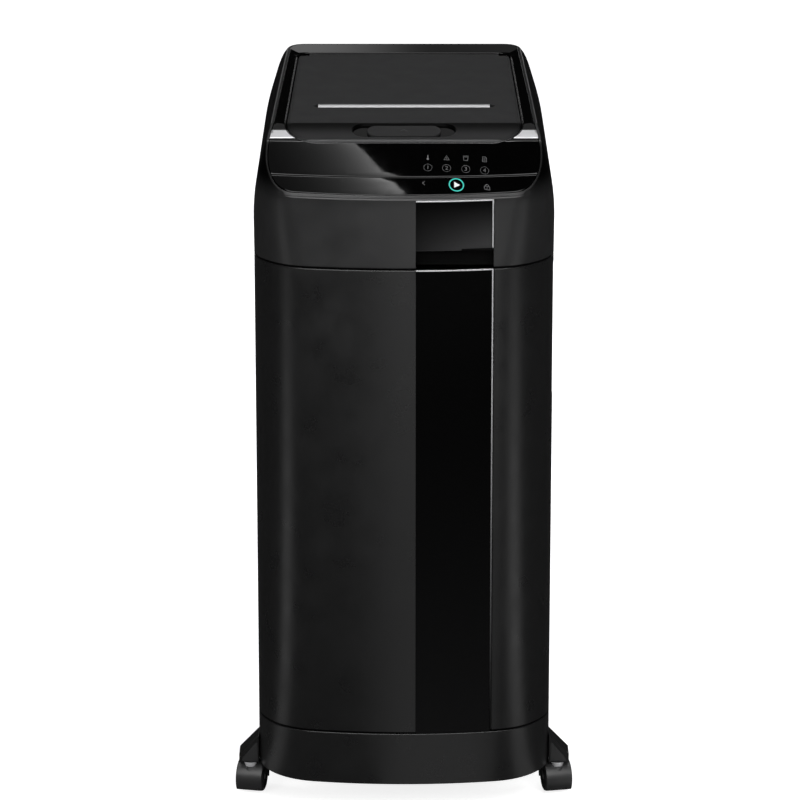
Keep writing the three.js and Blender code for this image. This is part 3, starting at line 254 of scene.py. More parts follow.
def head_place(entry, z, grow=0.0, front=0.0):
    """Place on the head's outer form at a height, optionally moved inwards."""
    squared = share_between(z, cabinet_high.z, RIM_Z)
    rounded = share_between(z, REAR_CORNER_FROM, HEAD_TOP)
    place, normal = (entry[i] + (entry[i + 2] - entry[i]) * squared + (entry[i + 4] - entry[i]) * rounded
                     for i in (0, 1))
    side = arc_inset(z - SIDE_BREAK, SIDE_RADIUS) + grow
    ahead = max(arc_inset(min(z, RIM_Z) - FRONT_BREAK, FRONT_ROUND), front)
    back = arc_inset(min(z - REAR_BREAK, REAR_ROUND * 0.96), REAR_ROUND) + grow
    place = inset_place((place, normal.normalized()), side, ahead, back)
    return Vector((place.x, place.y, z))


def head_edge(entry, grow=0.0, front=0.0):
    """Where the head's outer form meets the top surface."""
    low, high = 0.800, HEAD_TOP
    for _ in range(30):
        middle = (low + high) / 2
        place = head_place(entry, middle, grow, front)
        if middle > top_height(place.x, place.y):
            high = middle
        else:
            low = middle
    place = head_place(entry, low, grow, front)
    return Vector((place.x, place.y, top_height(place.x, place.y)))


# ---------------------------------------------------------------- materials
def feed(tree, target, value):
    """Link a socket to an input, or set the input's own value."""
    if isinstance(value, bpy.types.NodeSocket):
        tree.links.new(value, target)
    else:
        target.default_value = value


def graph_node(tree, kind, mode=None, **inputs):
    node = tree.nodes.new(kind)
    if mode:
        setattr(node, "operation" if hasattr(node, "operation") else "interpolation_type", mode)
    for socket, value in inputs.items():
        feed(tree, node.inputs[socket.replace("_", " ")], value)
    return node


def object_place(tree):
    return graph_node(tree, "ShaderNodeTexCoord").outputs["Object"]


def part_of(tree, vector, axis):
    return graph_node(tree, "ShaderNodeSeparateXYZ", Vector=vector).outputs[axis]


def mapped(tree, value, start=0.0, end=1.0, low=0.0, high=1.0, mode=None):
    """The value carried from the range start-end to the range low-high, and held there."""
    return graph_node(tree, "ShaderNodeMapRange", mode, Value=value, From_Min=start, From_Max=end, To_Min=low,
                      To_Max=high).outputs["Result"]


def maths(tree, mode, *values, kind="ShaderNodeMath", output="Value"):
    """Result of a maths node whose inputs are given in order."""
    node = graph_node(tree, kind, mode)
    for target, value in zip(node.inputs, values):
        feed(tree, target, value)
    return node.outputs[output]


def mix_colours(tree, factor, first, second, target):
    mix = tree.nodes.new("ShaderNodeMix")
    mix.data_type = "RGBA"
    for socket, colour in zip([socket for socket in mix.inputs if socket.type == "RGBA"], (first, second)):
        feed(tree, socket, colour)
    feed(tree, mix.inputs["Factor"], factor)
    tree.links.new(next(socket for socket in mix.outputs if socket.type == "RGBA"), target)


class Shading:
    """A procedural material under construction."""

    def __init__(self, name, colour, roughness, metallic=0.0, **settings):
        self.material = bpy.data.materials.new(name)
        self.material.use_nodes = True
        self.tree = self.material.node_tree
        self.shader = self.tree.nodes["Principled BSDF"]
        settings.update(Base_Color=(*colour, 1), Roughness=roughness, Metallic=metallic)
        for socket, value in settings.items():
            self.shader.inputs[socket.replace("_", " ")].default_value = value
        self.place = object_place(self.tree)

    def noise(self, scale, detail=2.0, stretch=(1, 1, 1)):
        place = graph_node(self.tree, "ShaderNodeMapping", Vector=self.place, Scale=stretch).outputs["Vector"]
        return graph_node(self.tree, "ShaderNodeTexNoise", Vector=place, Scale=scale, Detail=detail).outputs["Fac"]

    def blend(self, factor, low, high):
        """Number that goes from low to high as the factor goes from 0.3 to 0.7."""
        return mapped(self.tree, factor, 0.3, 0.7, low, high)

    def vary_roughness(self, factor, low, high):
        self.tree.links.new(self.blend(factor, low, high), self.shader.inputs["Roughness"])

    def vary_colour(self, factor, first, second):
        mix_colours(self.tree, factor, (*first, 1), (*second, 1), self.shader.inputs["Base Color"])

    def bump(self, height, distance, strength=1.0):
        bump = graph_node(self.tree, "ShaderNodeBump", Height=height, Distance=distance, Strength=strength)
        self.tree.links.new(bump.outputs["Normal"], self.shader.inputs["Normal"])

    def axis(self, name):
        return part_of(self.tree, self.place, name)


def grey(level):
    return (level, level, level * 1.02)


def moulded_plastic(name, level, roughness, grain=1500, grain_depth=0.00004, specular=0.5):
    """Spark-textured moulding: fine grain, faint flow marks and slightly uneven gloss."""
    shading = Shading(name, grey(level), roughness, Specular_IOR_Level=specular)
    shading.vary_colour(shading.noise(9, 3), grey(level * 0.92), grey(level * 1.08))
    shading.vary_roughness(shading.noise(26, 4), roughness - 0.04, roughness + 0.05)
    shading.bump(shading.noise(grain, 1), grain_depth, 0.5)
    return shading.material


def shaded_foot(material, foot, sides=None):
    """Painted shade on a moulding: near black just above its foot as a painted seam shadow, and on its steep sides
    above a height.
    """
    tree = material.node_tree
    shader = tree.nodes["Principled BSDF"]
    height = part_of(tree, object_place(tree), "Z")
    kept = mapped(tree, height, foot + 0.0012, foot + 0.0026, mode="SMOOTHSTEP")
    if sides:
        rise = part_of(tree, graph_node(tree, "ShaderNodeNewGeometry").outputs["Normal"], "Z")
        raised = mapped(tree, height, *sides, 1.0, mapped(tree, rise, 0.50, 0.65), "SMOOTHSTEP")
        kept = maths(tree, "MULTIPLY", kept, raised)
    tree.links.new(mapped(tree, kept, low=0.02, high=0.5), shader.inputs["Specular IOR Level"])
    base = shader.inputs["Base Color"]
    # painted shade: the colour goes near black at the seam and on the steep upper sides
    mix_colours(tree, kept, (0.001, 0.001, 0.001, 1), base.links[0].from_socket, base)
    return material


def piano_gloss(name, level, roughness, specular):
    """High-gloss acrylic with the faintest orange peel and polishing haze."""
    shading = Shading(name, grey(level), roughness, Specular_IOR_Level=specular)
    shading.vary_roughness(shading.noise(120, 3), roughness * 0.7, roughness * 1.4)
    shading.vary_colour(shading.noise(40, 2), grey(level * 0.8), grey(level * 1.2))
    shading.bump(shading.noise(60, 1), 0.000002, 0.4)
    return shading.material


def brushed_metal(name, level, roughness, stretch, depth=0.000012):
    """Rolled or brushed metal: streaks along one direction and uneven polish."""
    shading = Shading(name, grey(level), roughness, 1.0)
    streaks = shading.noise(700, 2, stretch)
    shading.vary_colour(streaks, grey(level * 0.9), grey(level * 1.06))
    shading.vary_roughness(streaks, roughness - 0.06, roughness + 0.08)
    shading.bump(streaks, depth, 0.5)
    return shading.material


def painted_silver(name, level):
    """Silver lacquer: fine bright flakes over a pale base."""
    shading = Shading(name, grey(level), 0.34, 0.45)
    flakes = shading.noise(2600, 1)
    shading.vary_colour(flakes, grey(level * 0.9), grey(level * 1.1))
    shading.vary_roughness(flakes, 0.28, 0.40)
    shading.bump(flakes, 0.000008, 0.4)
    return shading.material


def soft_rubber(name, level, roughness):
    """Tread rubber with a fine pebbled surface."""
    shading = Shading(name, grey(level), roughness)
    shading.vary_colour(shading.noise(60, 4), grey(level * 0.8), grey(level * 1.3))
    shading.bump(shading.noise(900, 3), 0.00008, 0.6)
    return shading.material


def plain_marking(name, colour, roughness=0.4, glow=0.0):
    """Screen-printed ink with slightly uneven density; lit symbols glow a little."""
    shading = Shading(name, colour, roughness, Emission_Strength=glow, Emission_Color=(*colour, 1))
    shading.vary_colour(shading.noise(900, 2), [channel * 0.85 for channel in colour], colour)
    return shading.material


def circuit_board(name):
    """Solder mask with lighter copper runs below it."""
    shading = Shading(name, (0.01, 0.09, 0.035), 0.4)
    runs = graph_node(shading.tree, "ShaderNodeTexBrick", Vector=shading.place, Scale=70.0, Mortar_Size=0.03)
    shading.vary_colour(runs.outputs["Fac"], (0.008, 0.075, 0.028), (0.03, 0.16, 0.06))
    shading.vary_roughness(shading.noise(80, 2), 0.35, 0.5)
    return shading.material


def nylon(name, colour):
    """Natural nylon: creamy, faintly mottled."""
    shading = Shading(name, colour, 0.45, Subsurface_Weight=0.1, Subsurface_Scale=0.003)
    shading.vary_colour(shading.noise(70, 3), [channel * 0.85 for channel in colour], colour)
    shading.bump(shading.noise(1200, 2), 0.00002, 0.4)
    return shading.material


def fading_gloss(name, foot, head, levels, power, sideways=None):
    """Smoked acrylic with a painted reflection: its colour lightens towards its foot, and from one side to the other.
    """
    shading = Shading(name, grey(levels[1]), 0.12, Specular_IOR_Level=0.02)
    tree = shading.tree
    share = maths(tree, "POWER", mapped(tree, shading.axis("Z"), head, foot), power)
    share = maths(tree, "MULTIPLY", share, shading.blend(shading.noise(400, 2), 0.97, 1.03))
    if sideways:
        share = maths(tree, "MULTIPLY", share, mapped(tree, shading.axis("X"), *sideways))
    shading.vary_colour(share, grey(levels[0]), grey(levels[1]))
    shading.vary_roughness(shading.noise(120, 3), 0.08, 0.16)
    return shading.material


def fading_metal(name, foot, head, level):
    """Satin trim with painted shade: its colour darkens towards its foot."""
    shading = Shading(name, grey(level), 0.26, 1.0)
    height = mapped(shading.tree, shading.axis("Z"), foot, head)
    # painted shade: silver at the top, near black at the foot
    shading.vary_colour(maths(shading.tree, "POWER", height, 1.7), grey(0.012), grey(level))
    shading.vary_roughness(shading.noise(700, 2, (1, 1, 0.03)), 0.22, 0.32)
    return shading.material


finishes = {
    "cabinet_black": moulded_plastic("matte cabinet plastic", 0.0095, 0.30),
    "gloss_black": piano_gloss("piano black acrylic", 0.0010, 0.05, 0.30),
    "lid_black": moulded_plastic("textured lid plastic", LID_LEVEL, 0.55, 1100, 0.00005, LID_SHEEN),
    "silver_trim": brushed_metal("satin silver trim", 0.80, 0.30, (1, 1, 0.03)),
    "inner_black": moulded_plastic("inner black plastic", 0.010, 0.5),
    "bin_grey": moulded_plastic("bin plastic", 0.045, 0.5, 500, 0.00006),
    "plate_steel": brushed_metal("zinc-plated steel", 0.42, 0.34, (1, 0.04, 1)),
    "tool_steel": brushed_metal("hardened cutter steel", 0.30, 0.26, (0.05, 1, 1)),
    "gear_nylon": nylon("natural nylon", (0.62, 0.59, 0.49)),
    "rubber": soft_rubber("wheel rubber", 0.012, 0.75),
    "caster_black": moulded_plastic("glass-filled nylon", 0.022, 0.42, 800, 0.00005),
    "board_green": circuit_board("circuit board"),
}
# head and drawer plastics carry painted shade at the seam, and the head is also painted near black on its steep upper
# sides
head_plastic = shaded_foot(moulded_plastic("matte head plastic", 0.0155, 0.32), head_low.z, (0.83, 0.87))
drawer_plastic = shaded_foot(moulded_plastic("matte drawer plastic", 0.0080, 0.30), drawer_low.z)
# black plastic darkened much further as painted shade inside the finger pocket
pocket_plastic_painted_shade = moulded_plastic("shaded pocket plastic", 0.0007, 0.6, specular=0.05)
lip_silver = painted_silver("silver slot lip", 0.22)
bead_metal = brushed_metal("dark bead", 0.055, 0.24, (1, 1, 1))
silver_paint = painted_silver("silver paint", 0.70)
trim_metal = fading_metal("satin upright trim", drawer_low.z, 0.58, 0.85)
ink_white = plain_marking("white ink", (0.86, 0.88, 0.88), 0.4, 0.15)
ink_faint = plain_marking("faint unlit symbol", (0.085, 0.085, 0.088))
ink_teal = plain_marking("teal ring", (0.022, 0.50, 0.42), 0.35, 0.35)
ink_arrow = plain_marking("engraved arrow", (0.006, 0.006, 0.006), 0.6)


# ---------------------------------------------------------------- mesh helpers
def add_object(name, data):
    made = bpy.data.objects.new(name, data)
    bpy.context.scene.collection.objects.link(made)
    return made


def raw_mesh(name, vertices, faces):
    mesh = bpy.data.meshes.new(name)
    mesh.from_pydata([tuple(vertex) for vertex in vertices], [], faces)
    return mesh


@contextmanager
def editing(mesh):
    """Open a mesh for bmesh work and write it back."""
    edit = bmesh.new()
    edit.from_mesh(mesh)
    yield edit
    edit.to_mesh(mesh)
    edit.free()


def new_piece(name, vertices, faces, slot, body="root", replaces=(), angle=35, finish=None):
    """Object from vertices and faces, in the slot's own finish unless another one is given."""
    mesh = raw_mesh(name, vertices, faces)
    mesh.validate()
    with editing(mesh) as edit:
        bmesh.ops.remove_doubles(edit, verts=edit.verts, dist=2e-6)
        bmesh.ops.recalc_face_normals(edit, faces=edit.faces)
    piece = add_object(name, mesh)
    dress_piece(piece, slot, body, replaces, angle, finish)
    return piece


def dress_piece(piece, slot, body, replaces, angle, finish=None):
    piece.data.materials.clear()
    piece.data.materials.append(finish or finishes[slot])
    shade(piece, angle)
    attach(piece, body)
    if replaces:
        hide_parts(*replaces)


def shade(piece, angle):
    """Smooth shading up to the angle, with normals led by the large faces."""
    piece.data.polygons.foreach_set("use_smooth", [True] * len(piece.data.polygons))
    piece.data.set_sharp_from_angle(angle=radians(angle))
    if "normals" not in piece.modifiers:
        piece.modifiers.new("normals", "WEIGHTED_NORMAL").keep_sharp = True


def round_edges(piece, width, segments=3, angle=30, chosen=lambda place: True):
    """Bevel the edges that are sharper than the angle and whose two ends pass a test."""
    limit = radians(angle)
    with editing(piece.data) as edit:
        edges = [edge for edge in edit.edges if len(edge.link_faces) == 2 and edge.calc_face_angle() > limit
                 and all(chosen(vertex.co) for vertex in edge.verts)]
        bmesh.ops.bevel(edit, geom=edges, offset=width, segments=segments, profile=0.5, affect="EDGES",
                        clamp_overlap=True)
    shade(piece, 35)
    return piece


def carve(piece, *cutters):
    """Cut the cutters out of the piece; the cutters are used up."""
    for cutter in cutters:
        change = piece.modifiers.new("carve", "BOOLEAN")
        change.operation, change.solver, change.object = "DIFFERENCE", "EXACT", cutter
    graph = bpy.context.evaluated_depsgraph_get()
    mesh = bpy.data.meshes.new_from_object(piece.evaluated_get(graph))
    piece.modifiers.clear()
    piece.data = mesh
    for cutter in cutters:
        bpy.data.objects.remove(cutter)
    shade(piece, 35)


def front_edge_of(low, high):
    """Test for the front edges of the recess round a trim: its sides, at the face."""
    def chosen(place):
        face = FRONT + bow_at(place.x)
        beside = min(abs(place.x - low.x + PIECE_GAP), abs(place.x - high.x - SHADOW_GAP)) < 0.0002
        return beside and abs(place.y - face) < 0.0004
    return chosen


def loose_solid(vertices, faces):
    """Mesh object that is only a cutting tool."""
    mesh = raw_mesh("tool", vertices, faces)
    with editing(mesh) as edit:
        bmesh.ops.recalc_face_normals(edit, faces=edit.faces)
    return add_object("tool", mesh)


def band_faces(first, second, count):
    """Faces between two closed rings of vertices that start at the given indices."""
    pairs = [(index, (index + 1) % count) for index in range(count)]
    return [[first + here, first + after, second + after, second + here] for here, after in pairs]


def prism_mesh(outline, place):
    """Vertices and faces of a prism: outline points (a, b), and place(a, b, end) for both ends."""
    count = len(outline)
    vertices = [place(a, b, end) for end in (0, 1) for a, b in outline]
    ends = [list(range(count))[::-1], list(range(count, 2 * count))]
    return vertices, band_faces(0, count, count) + ends


def box_mesh(low, high):
    outline = [(low[0], low[1]), (high[0], low[1]), (high[0], high[1]), (low[0], high[1])]
    return prism_mesh(outline, lambda x, y, end: (x, y, high[2] if end else low[2]))


def box_piece(name, low, high, slot, bevel=0.0005, **more):
    round_edges(new_piece(name, *box_mesh(low, high), slot, **more), bevel)


def lathe_piece(name, profile, centre, axis, slot, steps=48, **more):
    """Solid turned from (radius, along) pairs round an axis; the profile closes on itself."""
    axis = Vector(axis).normalized()
    side = axis.orthogonal().normalized()
    up = axis.cross(side)
    sections = []
    for step in range(steps):
        angle = 2 * pi * step / steps
        outward = side * cos(angle) + up * sin(angle)
        sections.append([Vector(centre) + outward * radius + axis * along for radius, along in profile])
    return new_piece(name, *sweep_mesh(sections), slot, **more)


def sweep_mesh(sections, closed=True):
    """Skin through equal rings of points; each ring closes on itself."""
    count = len(sections[0])
    vertices = [point for section in sections for point in section]
    faces = []
    for index in range(len(sections) - (0 if closed else 1)):
        faces += band_faces(index * count, (index + 1) % len(sections) * count, count)
    if not closed:
        faces.append(list(range(count)))
        faces.append([(len(sections) - 1) * count + place for place in range(count)][::-1])
    return vertices, faces


def smooth_copy(node, slot, bevel):
    """The CAD node's own shape with flats merged, edges rounded and curved faces shaded smooth."""
    mesh = frame["nodes"][node].data.copy()
    with editing(mesh) as edit:
        bmesh.ops.remove_doubles(edit, verts=edit.verts, dist=1e-6)
        bmesh.ops.dissolve_limit(edit, angle_limit=radians(1.0), verts=edit.verts, edges=edit.edges)
    piece = add_object(node + "_finished", mesh)
    dress_piece(piece, slot, node_body[node], (node,), 30)
    round_edges(piece, bevel, 2)


# ---------------------------------------------------------------- plates that follow the top
def offset_loop(loop, amount):
    """The closed loop moved towards its left by an amount."""
    if not amount:
        return list(loop)
    moved = []
    for index, point in enumerate(loop):
        before, after = loop[index - 1], loop[(index + 1) % len(loop)]
        first = Vector((point[0] - before[0], point[1] - before[1])).normalized()
        second = Vector((after[0] - point[0], after[1] - point[1])).normalized()
        normals = Vector((-first.y, first.x)), Vector((-second.y, second.x))
        mitre = (normals[0] + normals[1]) / max(1 + normals[0].dot(normals[1]), 0.3)
        moved.append((point[0] + mitre.x * amount, point[1] + mitre.y * amount))
    return moved


def inside_loops(points, loops):
    """Even-odd test of many points against closed loops."""
    inside = np.zeros(len(points), dtype=bool)
    x, y = points[:, 0], points[:, 1]
    for loop in loops:
        for (ax, ay), (bx, by) in zip(loop, loop[1:] + loop[:1]):
            if ay == by:
                continue
            crosses = (ay > y) != (by > y)
            inside ^= crosses & (x < (bx - ax) * (y - ay) / (by - ay) + ax)
    return inside


def distance_to_loops(points, loops):
    nearest = np.full(len(points), np.inf)
    for loop in loops:
        for a, b in zip(loop, loop[1:] + loop[:1]):
            a, b = np.array(a), np.array(b)
            along = np.clip(((points - a) @ (b - a)) / max((b - a) @ (b - a), 1e-18), 0, 1)
            nearest = np.minimum(nearest, np.linalg.norm(points - a - along[:, None] * (b - a), axis=1))
    return nearest


def quarter_edge(radius, thickness, steps=4):
    """Edge profile from the foot of the side up to the face: (offset inwards, drop) pairs."""
    turns = [index / steps * pi / 2 for index in range(steps + 1)]
    return [(0.0, thickness)] + [(radius * (1 - cos(t)), radius * (1 - sin(t))) for t in turns]


def plate_piece(name, outer, slot, thickness, edge, holes=(), hole_edge=None, spacing=0.006, rows=(),
                creases=(), sharp=2.0, surface=on_top, **more):
    """Closed plate that lies in the top surface, with shaped edges and a fine, even face.

    outer runs counter-clockwise and holes clockwise, so the material is always on the left.
    """
    hole_edge = hole_edge or edge
    profiles = [edge] + [hole_edge] * len(holes)
    loops = [list(outer), *[list(hole) for hole in holes]]
    vertices, faces, face_loops, foot_rings = [], [], [], []
    for loop, profile in zip(loops, profiles):
        foot_rings.append(len(vertices))
        for level, (offset, drop) in enumerate(profile):
            ring, start = offset_loop(loop, offset), len(vertices)
            vertices.extend(surface(x, y, drop) for x, y in ring)
            if level:
                faces += band_faces(start - len(ring), start, len(ring))
        face_loops.append((start, ring))
    rim_loops = [ring for _, ring in face_loops]
    grid = fill_grid(rim_loops, spacing, rows)
    points = [point for ring in rim_loops for point in ring]
    rim_indices, edges = [], []
    for ring_start, ring in face_loops:
        base = len(rim_indices)
        rim_indices.extend(range(ring_start, ring_start + len(ring)))
        edges.extend((base + i, base + (i + 1) % len(ring)) for i in range(len(ring)))
    for chain in creases:
        edges.extend((len(points) + i, len(points) + i + 1) for i in range(len(chain) - 1))
        points.extend(chain)
    points.extend(grid)
    found, _, triangles, originals, _, _ = delaunay_2d_cdt([Vector(p) for p in points], edges, [], 0, 1e-7)
    index_of = []
    for place, sources in zip(found, originals):
        known = next((rim_indices[source] for source in sources if source < len(rim_indices)), None)
        if known is None:
            known = len(vertices)
            vertices.append(surface(place.x, place.y, 0.0))
        index_of.append(known)
    middles = np.array([[sum(found[i].x for i in t) / 3, sum(found[i].y for i in t) / 3] for t in triangles])
    keep = inside_loops(middles, rim_loops)
    top_faces = [[index_of[i] for i in triangle] for triangle, kept in zip(triangles, keep) if kept]
    under, flat = {}, dict(zip(index_of, found))
    for index in dict.fromkeys(index for face in top_faces for index in face):
        under[index] = len(vertices)
        vertices.append(surface(*flat[index], thickness))
    faces += top_faces + [[under[index] for index in face][::-1] for face in top_faces]
    for foot, (ring_start, ring) in zip(foot_rings, face_loops):
        faces += [[under[a], under[b], c, d] for a, b, c, d in band_faces(ring_start, foot, len(ring))]
    mark_creases(new_piece(name, vertices, faces, slot, **more), sharp)


def fill_grid(loops, spacing, rows):
    """Even interior points, with extra rows where the surface folds."""
    every = np.array([point for loop in loops for point in loop])
    (low_x, low_y), (high_x, high_y) = every.min(axis=0), every.max(axis=0)
    columns = np.arange(math.floor(low_x / spacing) * spacing, high_x, spacing)
    lines = [y for y in np.arange(math.floor(low_y / spacing) * spacing, high_y, spacing)
             if all(abs(y - row) > 0.6 * spacing for row in rows)]
    grid = np.array([(x, y) for y in sorted([*lines, *rows]) for x in columns])
    grid = grid[inside_loops(grid, loops)]
    grid = grid[distance_to_loops(grid, loops) > 0.35 * spacing]
    return [tuple(point) for point in grid]


def mark_creases(piece, degrees_limit):
    """Keep shallow folds between flat facets crisp."""
    if not degrees_limit:
        return
    with editing(piece.data) as edit:
        for edge in edit.edges:
            flats = len(edge.link_faces) == 2 and all(len(face.verts) == 3 for face in edge.link_faces)
            if flats and edge.calc_face_angle() > radians(degrees_limit):
                edge.smooth = False


def cut_chain(points, closed, mark, above, measure=lambda point: point[1]):
    """Open chains of a polyline where the measure is above (or below) the mark, in the polyline's order."""
    values = [measure(point) for point in points]
    keeps = [(value > mark) == above for value in values]
    chains, current = [], [points[0]] if keeps[0] else []
    for here in range(len(points) - (0 if closed else 1)):
        there = (here + 1) % len(points)
        if keeps[here] != keeps[there]:
            share = (mark - values[here]) / (values[there] - values[here])
            (ax, ay), (bx, by) = points[here], points[there]
            crossing = (ax + (bx - ax) * share, ay + (by - ay) * share)
            if keeps[here]:
                chains.append(current + [crossing])
                current = []
            else:
                current = [crossing]
        if keeps[there]:
            current.append(points[there])
    if current:
        if closed and keeps[0] and chains:
            chains[0] = current[:-1] + chains[0]
        else:
            chains.append(current)
    return chains


# ---------------------------------------------------------------- camera, lights and floor
CAMERA_DISTANCE = 5.0  # ahead of the front
CAMERA_HEIGHT = 2.0599
CAMERA_PITCH = radians(16.5)
FOCAL_SHARE = 4039.47 / 800  # focal length over the frame's width
SENSOR = 36.0


def place_camera():
    camera = bpy.data.cameras.new("camera")
    camera.sensor_width = SENSOR
    camera.lens = SENSOR * FOCAL_SHARE
    camera.shift_x = -0.005
    camera.clip_end = 40
    viewer = add_object("camera", camera)
    viewer.location = (0, FRONT - CAMERA_DISTANCE, CAMERA_HEIGHT)
    viewer.rotation_euler = (pi / 2 - CAMERA_PITCH, 0, 0)
    bpy.context.scene.camera = viewer
    bpy.context.scene.view_settings.view_transform = "Standard"


def softbox(name, place, aim, size, power):
    """Lamp that lights the matte surfaces; what the gloss mirrors is set by the cards."""
    light = bpy.data.lights.new(name, "AREA")
    light.shape = "RECTANGLE"
    light.size, light.size_y = size
    light.energy = power
    lamp = add_object(name, light)
    lamp.location = place
    lamp.rotation_euler = (Vector(aim) - Vector(place)).to_track_quat("-Z", "Y").to_euler()
    lamp.visible_glossy = False


def card(name, corners, glow, fade=None, tail=None):
    """Studio card that shows only in reflections.

    A fade is a pair of points and the share of the glow left at the second one; with a tail
    the glow falls off steeply at first and then ever more slowly.
    """
    sheet = add_object(name, raw_mesh(name, corners, [range(len(corners))]))
    material = bpy.data.materials.new(name)
    material.use_nodes = True
    tree = material.node_tree
    tree.nodes.remove(tree.nodes["Principled BSDF"])
    strength = glow
    if fade:
        start, end, left = fade
        across = Vector(end) - Vector(start)
        moved = maths(tree, "SUBTRACT", object_place(tree), start, kind="ShaderNodeVectorMath", output="Vector")
        share = maths(tree, "DOT_PRODUCT", moved, across / across.length_squared, kind="ShaderNodeVectorMath")
        if tail:
            beyond = mapped(tree, share, low=1.0, high=1.0 + 1.0 / tail)
            strength = mapped(tree, maths(tree, "POWER", beyond, -1.3), high=glow)
        else:
            strength = mapped(tree, share, low=glow, high=glow * left, mode="SMOOTHSTEP")
    light = graph_node(tree, "ShaderNodeEmission", Strength=strength)
    tree.links.new(light.outputs["Emission"], tree.nodes["Material Output"].inputs["Surface"])
    sheet.data.materials.append(material)
    sheet.visible_camera = sheet.visible_diffuse = sheet.visible_shadow = False


AMBIENT, MIRRORED_AMBIENT = 0.14, 0.004


def build_world():
    world = bpy.data.worlds.new("studio")
    world.use_nodes = True
    tree = world.node_tree
    path = graph_node(tree, "ShaderNodeLightPath").outputs
    dim = mapped(tree, path["Is Glossy Ray"], low=AMBIENT, high=MIRRORED_AMBIENT)
    background = tree.nodes["Background"].inputs
    background["Color"].default_value = (1, 1, 1, 1)
    tree.links.new(mapped(tree, path["Is Camera Ray"], low=dim), background["Strength"])
    bpy.context.scene.world = world


def build_floor():
    """White floor that keeps the object's soft shadow; in reflections it is dark."""
    size = 14.0
    corners = [(-size, -size, 0), (size, -size, 0), (size, size, 0), (-size, size, 0)]
    floor = add_object("floor", raw_mesh("floor", corners, [(0, 1, 2, 3)]))
    shading = Shading("studio floor", (0.8, 0.8, 0.8), 0.9, Specular_IOR_Level=0.0)
    tree, matte = shading.tree, shading.shader.outputs["BSDF"]
    path = graph_node(tree, "ShaderNodeLightPath").outputs
    distance = maths(tree, "LENGTH", shading.place, kind="ShaderNodeVectorMath")
    rim = mapped(tree, distance, 0.35, 1.3, 0.82, 1.0, "SMOOTHSTEP")

    def glow(strength):
        return graph_node(tree, "ShaderNodeEmission", Strength=strength).outputs["Emission"]

    def join(kind, *shaders, **inputs):
        node = graph_node(tree, kind, **inputs)
        for target, shader in zip(list(node.inputs)[-2:], shaders):
            tree.links.new(shader, target)
        return node.outputs["Shader"]

    lit = join("ShaderNodeAddShader", matte, glow(rim))
    for_camera = join("ShaderNodeMixShader", matte, lit, Fac=path["Is Camera Ray"])
    for_gloss = join("ShaderNodeMixShader", for_camera, glow(0.025), Fac=path["Is Glossy Ray"])
    tree.links.new(for_gloss, tree.nodes["Material Output"].inputs["Surface"])
    floor.data.materials.append(shading.material)


def build_lights():
    middle = (0, 0, 0.55)
    softbox("key", (1.3, -3.0, 2.3), middle, (1.2, 1.6), 56)
    softbox("fill", (-1.8, -2.6, 1.3), middle, (1.0, 1.8), 20)
    softbox("top", (0.0, 0.2, 3.2), (0, 0, 0.9), (1.4, 1.4), 16)
    softbox("rear fill", (0.5, 3.0, 2.4), middle, (1.6, 1.4), 30)
    for side in (-1, 1):
        softbox(f"side fill {side}", (side * 3.2, 0.7, 1.5), middle, (1.2, 1.6), 30)


def level_card(name, height, corners, *settings):
    card(name, [(x, y, height) for x, y in corners], *settings)


def build_panel_cards():
    """Gradient that the gloss panels mirror, and the flag whose edge crosses it as a diagonal."""
    level_card("overhead card", 3.2, ((-1.9, -0.6), (0.0, -0.6), (0.0, -2.4), (-1.9, -2.4)), 16.5,
               ((0.0, -0.70, 0), (-0.6, -1.9, 0), 0), 0.034)
    level_card("flag", 1.45, ((-0.173, -0.225), (-0.073, -0.318), (-0.0645, -0.328), (-0.049, -0.341),
                              (-0.033, -0.3475), (-0.018, -0.357), (0.008, -0.379), (0.03, -0.42), (0.1, -0.42),
                              (0.1, -0.225)), 0.0)
    level_card("zenith card", 3.2, ((-1.4, -0.42), (1.4, -0.42), (1.4, 0.3), (-1.4, 0.3)), 8.0)


def build_cards():
    """Cards mirrored by the gloss panels and trims and, softly, by the moulded surfaces."""
    build_panel_cards()
    level_card("accent card", 2.2, ((-0.5, 0.5), (0.5, 0.5), (0.5, 1.2), (-0.5, 1.2)), 0.35)
    card("rear card", ((-0.4, 4.0, 2.25), (0.4, 4.0, 2.25), (0.4, 4.0, 0.9), (-0.4, 4.0, 0.9)), 0.42,
         ((-0.24, 4.0, 0), (0.08, 4.0, 0), 0.15))
    card("front card", ((-1.6, -2.2, 1.1), (1.6, -2.2, 1.1), (1.6, -2.0, 2.5), (-1.6, -2.0, 2.5)), 6.0)
    for side in (-1, 1):
        near, far = side * 0.55, side * 1.5
        card(f"rear side card {side}", ((near, 3.2, 1.05), (far, 3.2, 1.05), (far, 3.2, 1.65), (near, 3.2, 1.65)), 0.9)

    def floor_card(name, turns, reach, glow, fade=None):
        ends = [Vector((sin(radians(turn)), -cos(radians(turn)), 0)) for turn in turns]
        lift = Vector((0, 0, 0.002))
        near, far = reach
        card(name, [ends[0] * near + lift, ends[1] * near + lift, ends[1] * far + lift, ends[0] * far + lift], glow,
             fade)

    floor_card("ahead card", (-6, 24), (0.3, 4.5), 1.1, ((0, -2.9, 0), (0, -2.1, 0), 0.34))
    floor_card("left card", (-67, -53), (0.3, 3.0), 0.9, ((-0.9, 0, 0), (-0.25, 0, 0), 0.4))
    floor_card("right card", (41, 57), (0.3, 3.0), 1.1, ((0.75, 0, 0), (0.25, 0, 0), 0.4))


